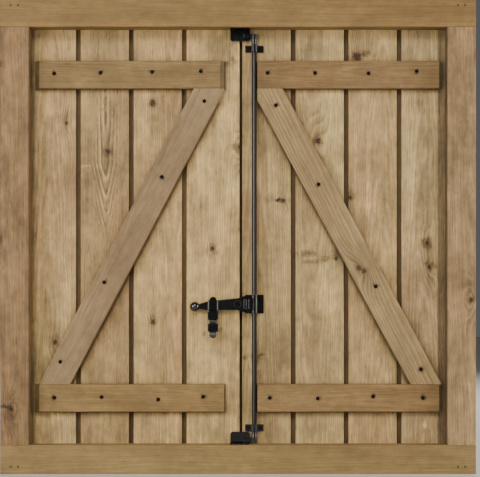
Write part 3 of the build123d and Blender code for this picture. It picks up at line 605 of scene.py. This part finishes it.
boards = {
    "left_board_1": {
        "tone": (1.06, 1.07, 1.06),
        "pith": (0.02, 0.15), "taper": 0.012, "ring_width": 0.0024,
        "knots": knots_at((212, 248.3, 0.0076, 0.007), (240, 147, 0.0068, 0.008)),
        "marks": marks_at((236, 148, 8, 5, 0.8), (214, 121, 3, 16, 0.5), (212, 250, 9, 8, 0.6),
                          (192, 275, 6, 20, -0.3), (231, 62, 7, 10, 0.7), (212, 235, 5, 5, -0.3),
                          (222, 160, 18, 36, 0.3), (210, 165, 4, 20, -0.3),
                          (222, 47, 28, 20, 0.6), (215, 430, 26, 14, 0.2),
                          # The next two marks are painted shadow, cast on either side of the catch's
                          # tail.
                          (204, 334, 3.5, 3, 0.7), (220, 330, 3, 5, 0.7)),
    },
    "left_board_2": {
        "tone": (0.97, 0.96, 0.94),
        "pith": (-0.16, 0.12), "taper": -0.014, "ring_width": 0.0022,
        "knots": knots_at((152.4, 103, 0.0101, 0.006), (152.6, 322, 0.0085, 0.006)),
        "marks": marks_at((152, 319, 5, 6, 0.6), (152, 95, 9, 7, -0.4), (152, 104, 7, 6, 0.7),
                          (156, 118, 5, 5, 0.5), (144, 150, 5, 24, -0.25), (165, 190, 7, 22, 0.3)),
    },
    "left_board_3": {
        "tone": (0.74, 0.74, 0.73),
        "pith": (-0.336, 0.021), "taper": -0.2, "ring_width": 0.0082,
        "wander": 0.0015, "taper_top": board_place(0, 162)[1],
        "focus": (*board_place(105, 155), 0.032, 0.2),
        "knots": knots_at((107.5, 151.6, 0.0081, 0.004)),
        "marks": marks_at((85, 166, 6, 2, -0.9), (107, 152, 7, 6, 0.7), (92, 178, 12, 12, 0.45),
                          (122, 172, 9, 12, 0.4), (92, 230, 6, 26, -0.3),
                          (104, 125, 32, 50, 0.13)),
    },
    "left_board_4": {
        "tone": (0.96, 0.97, 0.97),
        "pith": (-0.48, 0.14), "taper": 0.016, "ring_width": 0.0024,
        "knots": knots_at((66.2, 123, 0.0054, 0.004), (55, 342, 0.0074, 0.004)),
        "marks": marks_at((60, 118, 10, 8, 0.4), (55, 342, 7, 10, 0.6), (50, 215, 6, 40, -0.25),
                          (57, 432, 26, 16, 0.4)),
    },
    "right_board_1": {
        "tone": (0.76, 0.77, 0.78),
        "pith": (0.05, 0.14), "taper": 0.012, "ring_width": 0.0024,
        "knots": knots_at((255, 357.5, 0.0054, 0.004), (283, 200.5, 0.0054, 0.006)),
        "marks": marks_at((282, 200.5, 9, 3.5, 1.2), (270, 199, 9, 6, 0.5), (255, 357, 11, 5, 0.6),
                          (248, 200, 4, 40, 0.3), (268, 135, 12, 30, -0.3),
                          (246, 357.5, 3.5, 3, 0.75), (261.5, 355, 5, 3, 0.7),
                          (274, 355, 22, 40, 0.6), (274, 432, 20, 16, 0.4)),
    },
    "right_board_2": {
        "tone": (0.94, 0.96, 0.98),
        "pith": (0.19, 0.13), "taper": -0.018, "ring_width": 0.0024,
        "knots": knots_at((317.8, 140.8, 0.0101, 0.006)),
        "marks": marks_at((317, 141, 9, 6, 0.7), (306, 253, 13, 3.5, 0.65), (328, 258, 13, 4, 0.6),
                          (312, 262, 14, 2.5, 0.5), (312, 258, 12, 2, -0.5),
                          (318, 257, 27, 9, 0.3), (336, 256, 6, 6, 0.6),
                          (326, 120, 6, 16, -0.2), (320, 50, 26, 10, 0.4),
                          (316, 345, 26, 50, 0.4), (320, 432, 26, 16, 0.4)),
    },
    "right_board_3": {
        "tone": (0.91, 0.9, 0.91),
        "pith": (0.36, 0.13), "taper": 0.02, "ring_width": 0.0024,
        "knots": knots_at((350.3, 197.8, 0.0061, 0.004), (356.5, 56.5, 0.0135, 0.009)),
        "marks": marks_at((356, 57, 9, 6, 1.0), (366, 54, 10, 5, 0.6), (374, 50, 24, 10, 0.3),
                          (351, 196, 6, 7, 0.6), (385, 200, 8, 40, 0.25),
                          (368, 175, 3, 50, -0.35)),
    },
    "right_board_4": {
        "tone": (0.96, 0.99, 1.08),
        "pith": (0.47, 0.12), "taper": 0.014, "ring_width": 0.0022,
        "knots": knots_at((427, 243, 0.0068, 0.005), (429, 267, 0.0068, 0.005)),
        "marks": marks_at((427, 244, 7, 7, 1.0), (429, 266, 7, 6, 1.0), (425, 425, 2.5, 6, -1.0),
                          (424, 190, 6, 40, 0.3), (412, 180, 5, 50, -0.25),
                          (428, 140, 6, 16, 0.4)),
    },
}

# Timbers laid over the boards, and the shade beside them
QUARTER_TURN = math.pi / 2
BRACE_LEAN = math.radians(28.0)
BRACE_HALF_WIDTH = 0.035
END_BAND = 0.0005
FASTENER_REACH = 0.008
SCREW_SHADE = 0.0095
WHOLE_DEPTH = 10.0


def dress(name, material):
    """Gives a CAD node its finish."""
    piece = nodes[name]
    piece.data.materials.clear()
    piece.data.materials.append(material)


def world_points(name):
    """The corners of a CAD node's mesh, in the shared frame."""
    return [nodes[name].matrix_world @ vertex.co for vertex in nodes[name].data.vertices]


def clusters(name):
    """The lowest and highest corner of each fastener in a CAD node, told apart by x and z."""
    found = []
    for point in world_points(name):
        for low, high in found:
            aside = abs(point.x - (low.x + high.x) / 2)
            above = abs(point.z - (low.z + high.z) / 2)
            if aside < FASTENER_REACH and above < FASTENER_REACH:
                low[:] = map(min, low, point)
                high[:] = map(max, high, point)
                break
        else:
            found.append((point.copy(), point.copy()))
    return found


def rings_of_shade(name, screws):
    """Painted shade: soft dark rings round the screws that lie inside a CAD node's box, standing in
    for the shade in their countersinks.
    """
    low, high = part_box(name)
    marks = []
    for start, end in clusters(screws):
        x, z = (start.x + end.x) / 2, (start.z + end.z) / 2
        if low[0] < x < high[0] and low[2] < z < high[2]:
            marks.append((x, z, SCREW_SHADE, SCREW_SHADE, 1.0))
    return marks


def brace_line(name):
    """The middle of a brace and its lean towards +X, both from its long outer edge."""
    low, high = (Vector(corner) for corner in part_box(name))
    heads = [point.x for point in world_points(name) if point.z > high.z - END_BAND]
    side = 1 if low.x + high.x > 0 else -1
    foot, head = (low.x, min(heads)) if side < 0 else (high.x, max(heads))
    lean = math.atan2(head - foot, high.z - low.z)
    inward = Vector((-side * math.cos(lean), 0.0, side * math.sin(lean)))
    edge_middle = Vector(((foot + head) / 2, 0.0, (low.z + high.z) / 2))
    return edge_middle + inward * BRACE_HALF_WIDTH, lean


def edge_shade(name, strength=1.0, drop=0.0012, spill=0.003, grow=0.0):
    """The shade beside a timber: its middle, lowered by drop, half size, lean, reach, strength."""
    low, high = (Vector(corner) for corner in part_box(name))
    centre = (low + high) / 2
    half_size = (high - low) / 2 + Vector((grow, 0.0, 0.0))
    lean = 0.0
    if name.endswith("_brace"):
        centre, lean = brace_line(name)
        half_size = Vector((BRACE_HALF_WIDTH, 0.0, half_size.z / math.cos(lean)))
    half_size.y = WHOLE_DEPTH
    return (tuple(centre - Vector((0.0, 0.0, drop))), tuple(half_size), -lean, spill, strength)


# The jambs' inner faces lie just outside the opening that this box fills
opening_half = (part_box("right_jamb")[0][0] + 0.0002, WHOLE_DEPTH, WHOLE_DEPTH)
opening_shade = {
    side + "_jamb": [((0.0, 0.0, 0.0), opening_half, 0.0, 0.0008, strength)]
    for side, strength in (("left", 0.35), ("right", 0.8))
}

corners = {}
for side, strength, spill, grow in (("left", 0.75, 0.005, 0.004), ("right", 0.9, 0.002, 0.017)):
    corners[side] = [
        edge_shade(side + "_top_ledge", grow=0.002),
        edge_shade(side + "_bottom_ledge", grow=0.002),
        edge_shade(side + "_brace", 1.0, 0.005, 0.0065),
        edge_shade(side + "_jamb", strength, 0.0, spill, grow),
    ]

for index, (name, traits) in enumerate(boards.items()):
    side = name.split("_")[0]
    look = shaded(board_look, *traits.pop("tone"))
    shift = (3.1 * index, 0.7 * index, 1.9 * index)
    dress(name, timber_material(name + "_pine", look, shift=shift, corners=corners[side],
                                channel=CHANNEL, **traits))
dress("cover_strip", timber_material("cover_strip_pine", board_look, shift=(5.2, 0.4, 0.8),
                                     pith=(0.2, 0.1), channel=STRIP_CHANNEL))

TOP_LEDGE_Z, BOTTOM_LEDGE_Z = 1.00, 0.19
# Painted shade and light: the top ledges are made darker and the bottom ones paler, to even out how
# the key light falls from above.
ledge_tones = {
    "left_top_ledge": (0.73, 0.79, 0.84),
    "left_bottom_ledge": (0.87, 0.93, 0.94),
    "right_top_ledge": (0.74, 0.76, 0.83),
    "right_bottom_ledge": (0.81, 0.83, 0.88),
}
for index, (name, tone) in enumerate(ledge_tones.items()):
    ledge_z = TOP_LEDGE_Z if "top" in name else BOTTOM_LEDGE_Z
    screw_shade = rings_of_shade(name, name.split("_")[0] + "_leaf_screws")
    dress(name, timber_material(
        name + "_pine", shaded(ledge_look, *tone), lean=-QUARTER_TURN,
        shift=(2.3 * index, 0.9 * index, 1.3 * index), marks=screw_shade,
        pith=(ledge_z + 0.05 - 0.02 * index, 0.07), taper=0.012, ring_width=0.0024, wander=0.004,
    ))

left_brace_marks = rings_of_shade("left_brace", "left_leaf_screws")
left_brace_marks += marks_at((175, 150, 40, 50, 0.13), (98, 290, 40, 50, -0.28))
dress("left_brace", timber_material(
    "left_brace_pine", shaded(ledge_look, 0.88, 1.0, 1.38), lean=BRACE_LEAN,
    shift=(1.7, 0.2, 0.6), pith=(-0.56, 0.1), ring_width=0.0022, marks=left_brace_marks,
))
right_brace_look = {**shaded(ledge_look, 1.04, 1.19, 1.46), "Ring Strength": 0.4}
dress("right_brace", timber_material(
    "right_brace_pine", right_brace_look, lean=-BRACE_LEAN,
    shift=(0.4, 1.2, 2.6), pith=(0.57, 0.1), ring_width=0.004,
    knots=knots_at((358, 268, 0.008, 0.007), (363.5, 271, 0.008, 0.007)),
    marks=rings_of_shade("right_brace", "right_leaf_screws"),
))

# The frame. The head is painted darker and the sill paler, shade and light that even out how the key
# light falls from above; the head also has a painted highlight, a paler band along its lower edge.
dress("head", timber_material(
    "head_pine", shaded(head_look, 0.73, 0.75, 0.71), lean=-QUARTER_TURN, shift=(0.4, 0.3, 0.9),
    pith=(1.19, 0.07), taper=0.008, ring_width=0.0026, marks=[(0.0, 1.1235, 1.6, 0.007, -0.3)],
))
dress("sill", timber_material(
    "sill_pine", shaded(head_look, 0.88, 0.99, 1.03), lean=-QUARTER_TURN, shift=(1.4, 0.8, 2.1),
    pith=(-0.01, 0.07), taper=0.008, ring_width=0.0026,
))
dress("left_jamb", timber_material(
    "left_jamb_pine", shaded(jamb_look, 0.68, 0.66, 0.66), shift=(0.8, 0.4, 0.2),
    pith=(-0.6, 0.1), ring_width=0.0024,
    knots=knots_at((14, 408, 0.007, 0.008), (1.7, 239, 0.006, 0.004)),
    marks=marks_at((8, 405, 12, 3, 1.0), (14, 400, 10, 1.5, -0.6), (12, 412, 14, 12, 0.4),
                   (3, 67, 5, 6, 0.8), (3, 240, 4, 5, 0.6)),
    corners=opening_shade["left_jamb"],
))
dress("right_jamb", timber_material(
    "right_jamb_pine", shaded(jamb_look, 0.91, 0.95, 1.02), shift=(1.9, 0.6, 1.2),
    pith=(0.6, 0.1), taper=-0.01, ring_width=0.0024,
    knots=knots_at((468.5, 300, 0.007, 0.006)),
    marks=marks_at((468, 300, 7, 5, 0.6), (472, 303, 3, 4, -0.8), (467, 390, 1.5, 9, -0.5),
                   (462, 120, 6, 30, 0.25)),
    corners=opening_shade["right_jamb"],
))


# Black iron and black screws. Places on the lever and the catch, in metres.

NECK_X = -0.09
HEAD_FOOT_Z = 0.407
WAIST_Z = 0.3803
WAIST_SPAN = 0.0035
TIP_TOP_Z = 0.3545
DULL_ROUGHNESS = 0.7
IRON_SPECULAR = 0.42


def make_paint_group():
    """Satin black paint on forged iron: mottled colour, roughness and a faint uneven surface, greyed
    by a mask: rubbed paint on some pieces, painted highlights on others.
    """
    tree, given, result = new_group(
        "black_paint",
        [
            ("Place", "Vector", (0, 0, 0)),
            ("Paint", "Color", (0.0035, 0.0035, 0.0038, 1)),
            ("Dust", "Color", (0.03, 0.025, 0.02, 1)),
            ("Dustiness", "Float", 0.3),
            ("Wear And Sheen", "Float", 0.0),
            ("Metal And Sheen", "Color", (0.16, 0.155, 0.16, 1)),
        ],
        [("Color", "Color"), ("Roughness", "Float"), ("Height", "Float")],
    )
    place = given["Place"]
    mottle = full_noise(tree, place, 60.0, 3.0, 0.6)
    specks = spread(tree, noise(tree, place, 420.0), 0.52, 0.7)
    dust = product(tree, mottle, given["Dustiness"], specks)
    colour = blend_colour(tree, dust, given["Paint"], given["Dust"])
    sheen_and_wear = product(tree, given["Wear And Sheen"], spread(tree, mottle, 0.0, 1.0, 0.75, 1.0))
    tree.links.new(blend_colour(tree, sheen_and_wear, colour, given["Metal And Sheen"]), result["Color"])
    tree.links.new(spread(tree, mottle, 0.0, 1.0, 0.12, 0.2), result["Roughness"])
    tree.links.new(calc(tree, "ADD", noise(tree, place, 700.0), mottle), result["Height"])
    return tree


paint_group = make_paint_group()


def painted_iron(name, values, dull=0.0, wear_and_sheen=None):
    """Black painted iron, glossy or a little dull, greyed by a mask: paint rubbed thin on some
    pieces, painted highlights on others.
    """
    material, tree, shader = begin_material(name)
    coordinates = add_node(tree, "ShaderNodeTexCoord").outputs
    place = coordinates["Object"]
    values = {"Place": place, **values}
    if wear_and_sheen:
        values["Wear And Sheen"] = wear_and_sheen(tree, split(tree, place), split(tree, coordinates["Normal"]))
    paint = use_group(tree, paint_group, values)
    tree.links.new(paint["Color"], shader.inputs["Base Color"])
    rough = calc(tree, "ADD", paint["Roughness"], dull * DULL_ROUGHNESS)
    tree.links.new(rough, shader.inputs["Roughness"])
    shader.inputs["Specular IOR Level"].default_value = IRON_SPECULAR * (1 - dull)
    add_bump(tree, shader, paint["Height"], 0.2, 0.0003)
    return material


def edge_wear(tree, place, normal):
    """Paint rubbed thin on bevels and round edges, away from the ball."""
    square = calc(tree, "ABSOLUTE", normal[0])
    for axis in (1, 2):
        square = calc(tree, "MAXIMUM", square, calc(tree, "ABSOLUTE", normal[axis]))
    beside_ball = spread(tree, place[0], NECK_X, NECK_X + 0.01)
    return product(tree, spread(tree, square, 0.995, 0.9), beside_ball, 0.2)


def rod_highlight(tree, place, normal):
    """A painted highlight: a pale strip down the room side of the rod, between its end guides,
    fainter towards both ends.
    """
    sideways = product(tree, normal[0], -0.24)
    towards = calc(tree, "ADD", product(tree, normal[1], -0.97), sideways)
    facing = spread(tree, towards, 0.95, 0.995, smooth=True)
    above_foot = spread(tree, place[2], 0.105, 0.13)
    below_head = spread(tree, place[2], 1.075, 1.05)
    between = product(tree, above_foot, below_head)
    lower = spread(tree, place[2], 0.1, 0.6, 0.3, 0.8)
    upper = spread(tree, place[2], 1.0, 0.85, 0.7, 1.0)
    return product(tree, facing, between, lower, upper)


def catch_highlights(tree, place, normal):
    """Painted highlights on the catch: its side bevels, its waist and its tip."""
    sideways = calc(tree, "ABSOLUTE", normal[0])
    bevel = product(tree, spread(tree, sideways, 0.3, 0.5), spread(tree, sideways, 0.97, 0.9))
    head = spread(tree, place[2], HEAD_FOOT_Z, HEAD_FOOT_Z + 0.002, 0.12, 0.75)
    waist = bell(tree, calc(tree, "DIVIDE", calc(tree, "SUBTRACT", place[2], WAIST_Z), WAIST_SPAN))
    tip = spread(tree, place[2], TIP_TOP_Z, TIP_TOP_Z - 0.001)
    lit_bands = product(tree, calc(tree, "MAXIMUM", waist, tip), 0.22)
    return calc(tree, "MAXIMUM", product(tree, bevel, head), lit_bands)


iron = painted_iron("black_iron", {"Dustiness": 0.4}, wear_and_sheen=edge_wear)
handle_values = {"Dustiness": 0.3, "Metal And Sheen": srgb(130, 128, 128)}
handle_iron = painted_iron("black_iron_handle", handle_values, wear_and_sheen=edge_wear)
handle_shader = handle_iron.node_tree.nodes["Principled BSDF"]
for label, value in (("Coat Weight", 1.0), ("Coat Roughness", 0.07), ("Coat IOR", 1.5)):
    handle_shader.inputs[label].default_value = value
rod_values = {"Dustiness": 0.4, "Metal And Sheen": srgb(128, 121, 120)}
rod_iron = painted_iron("black_iron_rod", rod_values, dull=0.5, wear_and_sheen=rod_highlight)
catch_values = {"Dustiness": 0.4, "Metal And Sheen": srgb(130, 136, 130)}
catch_iron = painted_iron("black_iron_catch", catch_values, wear_and_sheen=catch_highlights)
screw_values = {"Paint": srgb(26, 17, 11), "Dust": srgb(58, 40, 26), "Dustiness": 0.7}
screw_black = painted_iron("black_screws", screw_values, dull=0.8)
nail_values = {"Paint": srgb(72, 52, 34), "Dust": srgb(104, 78, 50), "Dustiness": 0.8}
nail_brown = painted_iron("brown_nails", nail_values, dull=0.7)

own_finishes = {
    "rod": rod_iron,
    "catch_rocker": catch_iron,
    "handle_lever": handle_iron,
    "frame_nails": nail_brown,
}
for name in nodes:
    dressed = nodes[name].data.materials
    if name in own_finishes:
        dress(name, own_finishes[name])
    elif name.endswith("_screws"):
        dress(name, screw_black)
    elif not (dressed and dressed[0].name.endswith("_pine")):
        dress(name, iron)


# Small fasteners: screw heads with a cross recess, and nail heads

AROUND = 32
RINGS = 9
CROWN_FALL = 0.96
# The cross recess, as shares of the head's radius
CROSS_HALF_WIDTH = 0.15
CROSS_REACH = 0.6
CROSS_DEPTH = 0.32
# Each head is turned further than the last by this angle
FIRST_TURN, TURN_STEP = 0.3, 0.73
SKIRT_DROP = -0.0002

# Radius and height of the crown
LEAF_SCREW_HEAD = (0.00475, 0.0001)
HINGE_SCREW_HEAD = (0.0044, 0.0017)
SMALL_SCREW_HEAD = (0.0034, 0.0013)
STRIP_NAIL_HEAD = (0.0026, 0.0007)
LEAF_SCREW_SKIRT = (0.00225, -0.0025)

ROOM = (0, -1, 0)
OUTSIDE = (0, 1, 0)
DOWN = (0, 0, -1)
UP = (0, 0, 1)


def on_circle(radius, step):
    """One of the AROUND points of a circle, as x and y."""
    angle = 2 * math.pi * step / AROUND
    return radius * math.cos(angle), radius * math.sin(angle)


def make_heads(name, body, spots, radius, crown, cross=True, skirt=None, stands_for=None):
    """Round heads, each at a place and facing a direction, with a crown height and a skirt below."""
    skirt_radius, skirt_z = skirt or (radius, SKIRT_DROP)
    cross_reach = CROSS_REACH * radius
    shape = bmesh.new()
    for index, (place, facing) in enumerate(spots):
        turn = Vector(facing).to_track_quat("Z", "Y").to_matrix().to_4x4()
        twist = Matrix.Rotation(TURN_STEP * index + FIRST_TURN, 4, "Z")
        seat = Matrix.Translation(place) @ turn @ twist
        rows = []
        for ring in range(1, RINGS + 1):
            share = ring / RINGS
            row = []
            for step in range(AROUND):
                x, y = on_circle(radius * share, step)
                z = crown * math.sqrt(max(0.0, 1.0 - CROWN_FALL * share ** 4))
                near, far = sorted((abs(x), abs(y)))
                if cross and near < CROSS_HALF_WIDTH * radius and far < cross_reach:
                    z -= CROSS_DEPTH * radius * (1.0 - 0.7 * far / cross_reach)
                row.append(shape.verts.new(seat @ Vector((x, y, z))))
            rows.append(row)
        rows.append([
            shape.verts.new(seat @ Vector((*on_circle(skirt_radius, step), skirt_z)))
            for step in range(AROUND)
        ])
        top_z = crown - (CROSS_DEPTH * radius if cross else 0)
        top = shape.verts.new(seat @ Vector((0, 0, top_z)))
        foot = shape.verts.new(seat @ Vector((0, 0, skirt_z)))
        for step in range(AROUND):
            after = (step + 1) % AROUND
            shape.faces.new((top, rows[0][step], rows[0][after]))
            for inner, outer in zip(rows, rows[1:]):
                shape.faces.new((inner[step], outer[step], outer[after], inner[after]))
            shape.faces.new((rows[-1][step], foot, rows[-1][after]))
    mesh = bpy.data.meshes.new(name)
    shape.to_mesh(mesh)
    shape.free()
    piece = bpy.data.objects.new(name, mesh)
    bpy.context.scene.collection.objects.link(piece)
    mesh.materials.append(screw_black)
    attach(piece, body)
    if stands_for:
        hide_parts(stands_for)


def middle(name):
    """The middle of a CAD node's box."""
    low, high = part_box(name)
    return (Vector(low) + Vector(high)) / 2


# Where the heads sit, as in the CAD holes
STRAP_FACE = 0.038
GUIDE_FACE = 0.012
STRIP_FACE = 0.047
KEEPER_SCREW_Y = -0.0091
PLATE_SCREW_X = 0.558
PLATE_SCREW_STEP = 0.042
GUIDE_SCREW_OFFSET = 0.0165
KEEPER_SCREW_OFFSET = 0.015
MIDDLE_GUIDE_RISE = 0.015
STRIP_NAILS = 8
STRIP_NAIL_INSET = 0.0147
STRIP_NAIL_MARGIN = 0.04
strap_screw_xs = {"left": (-0.2037, -0.3377, -0.4684), "right": (0.2059, 0.3399, 0.4695)}

for side, sign in (("left", -1), ("right", 1)):
    spots = []
    for low, high in clusters(side + "_leaf_screws"):
        spots.append((((low.x + high.x) / 2, low.y + 0.0001, (low.z + high.z) / 2), ROOM))
    make_heads(side + "_leaf_screw_heads", side + "_leaf", spots, *LEAF_SCREW_HEAD,
               skirt=LEAF_SCREW_SKIRT, stands_for=side + "_leaf_screws")
    strap_spots = []
    plate_spots = []
    for level in ("upper", "lower"):
        z = middle(f"{side}_{level}_hinge_strap").z
        strap_spots += [((x, STRAP_FACE, z), OUTSIDE) for x in strap_screw_xs[side]]
        plate_spots += [
            ((sign * PLATE_SCREW_X, STRAP_FACE, z + rise), OUTSIDE)
            for rise in (-PLATE_SCREW_STEP, 0.0, PLATE_SCREW_STEP)
        ]
    make_heads(side + "_strap_screws", side + "_leaf", strap_spots, *HINGE_SCREW_HEAD)
    make_heads(side + "_plate_screws", "frame", plate_spots, *HINGE_SCREW_HEAD)

guide_spots = []
for name, rises in (
    ("top", (0.0,)),
    ("middle", (-MIDDLE_GUIDE_RISE, MIDDLE_GUIDE_RISE)),
    ("bottom", (0.0,)),
):
    centre = middle(name + "_rod_guide")
    guide_spots += [
        ((centre.x + offset, GUIDE_FACE, centre.z + rise), ROOM)
        for rise in rises
        for offset in (-GUIDE_SCREW_OFFSET, GUIDE_SCREW_OFFSET)
    ]
make_heads("rod_guide_screws", "right_leaf", guide_spots, *SMALL_SCREW_HEAD)

keeper_spots = []
for name, z, facing in (("top_keeper", 1.115, DOWN), ("bottom_keeper", 0.075, UP)):
    x = middle(name).x
    keeper_spots += [
        ((x + offset, KEEPER_SCREW_Y, z), facing)
        for offset in (-KEEPER_SCREW_OFFSET, KEEPER_SCREW_OFFSET)
    ]
make_heads("keeper_screws", "frame", keeper_spots, *SMALL_SCREW_HEAD)

strip_low, strip_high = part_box("cover_strip")
nail_x = strip_high[0] - STRIP_NAIL_INSET
nail_run = strip_high[2] - strip_low[2] - 2 * STRIP_NAIL_MARGIN
nail_spots = [
    ((nail_x, STRIP_FACE, strip_low[2] + STRIP_NAIL_MARGIN + nail_run * step / (STRIP_NAILS - 1)),
     OUTSIDE)
    for step in range(STRIP_NAILS)
]
make_heads("cover_strip_nails", "right_leaf", nail_spots, *STRIP_NAIL_HEAD, cross=False)


# Floor, lights and camera

FLOOR_HALF_WIDTH = 12.0
DAYLIGHT = (1.0, 0.97, 0.92)


def make_floor():
    """A wide pale floor."""
    mesh = bpy.data.meshes.new("floor")
    plane = bmesh.new()
    bmesh.ops.create_grid(plane, x_segments=1, y_segments=1, size=FLOOR_HALF_WIDTH)
    plane.to_mesh(mesh)
    plane.free()
    floor = bpy.data.objects.new("floor", mesh)
    bpy.context.scene.collection.objects.link(floor)
    material, _, shader = begin_material("floor_paper")
    shader.inputs["Base Color"].default_value = (0.62, 0.61, 0.59, 1)
    shader.inputs["Roughness"].default_value = 0.9
    mesh.materials.append(material)


def add_light(name, place, target, size, power, colour=(1, 1, 1)):
    """A rectangular soft light aimed at a point."""
    data = bpy.data.lights.new(name, "AREA")
    data.shape = "RECTANGLE"
    data.size, data.size_y = size
    data.energy = power
    data.color = colour
    light = bpy.data.objects.new(name, data)
    light.location = place
    light.rotation_euler = (Vector(target) - Vector(place)).to_track_quat("-Z", "Y").to_euler()
    bpy.context.scene.collection.objects.link(light)


make_floor()
add_light("key_light", (-0.4, -3.3, 2.8), (0, 0, 0.6), (3.0, 1.2), 95.0, (1.0, 0.965, 0.9))
add_light("left_window", (-2.3, -1.75, 0.9), (-0.1, 0, 0.5), (0.9, 1.0), 42.0, DAYLIGHT)
add_light("right_window", (2.5, -0.95, 0.9), (0.1, 0, 0.5), (0.9, 1.0), 45.0, DAYLIGHT)
add_light("front_strip", (-1.35, -3.3, 0.7), (0, 0, 0.6), (0.4, 2.6), 28.0, DAYLIGHT)
add_light("back_light", (0.6, 3.4, 3.0), (0, 0, 0.7), (2.6, 1.6), 150.0)

world = bpy.data.worlds.new("studio")
world.use_nodes = True
background = world.node_tree.nodes["Background"]
background.inputs["Color"].default_value = (0.82, 0.82, 0.83, 1)
background.inputs["Strength"].default_value = 0.12
bpy.context.scene.world = world

VIEW_WIDTH = 1.2
VIEW_DISTANCE = 4.1
SENSOR_WIDTH = 36.0
FRONT_Y = -0.035
IMAGE_WIDTH = 480
IMAGE_HEIGHT = 477
CENTRE_PX = (265.0, 290.0)
SILL_PX = 474.0
LEFT_EDGE = -0.595

metres_per_px = VIEW_WIDTH / IMAGE_WIDTH
camera_data = bpy.data.cameras.new("camera")
camera_data.sensor_width = SENSOR_WIDTH
camera_data.lens = SENSOR_WIDTH * VIEW_DISTANCE / VIEW_WIDTH
camera_data.shift_x = -(CENTRE_PX[0] - IMAGE_WIDTH / 2) / IMAGE_WIDTH
camera_data.shift_y = (CENTRE_PX[1] - IMAGE_HEIGHT / 2) / IMAGE_WIDTH
camera_data.dof.use_dof = False
camera = bpy.data.objects.new("camera", camera_data)
camera.location = (
    LEFT_EDGE + CENTRE_PX[0] * metres_per_px,
    FRONT_Y - VIEW_DISTANCE,
    (SILL_PX - CENTRE_PX[1]) * metres_per_px,
)
camera.rotation_euler = (QUARTER_TURN, 0, 0)
bpy.context.scene.collection.objects.link(camera)
bpy.context.scene.camera = camera
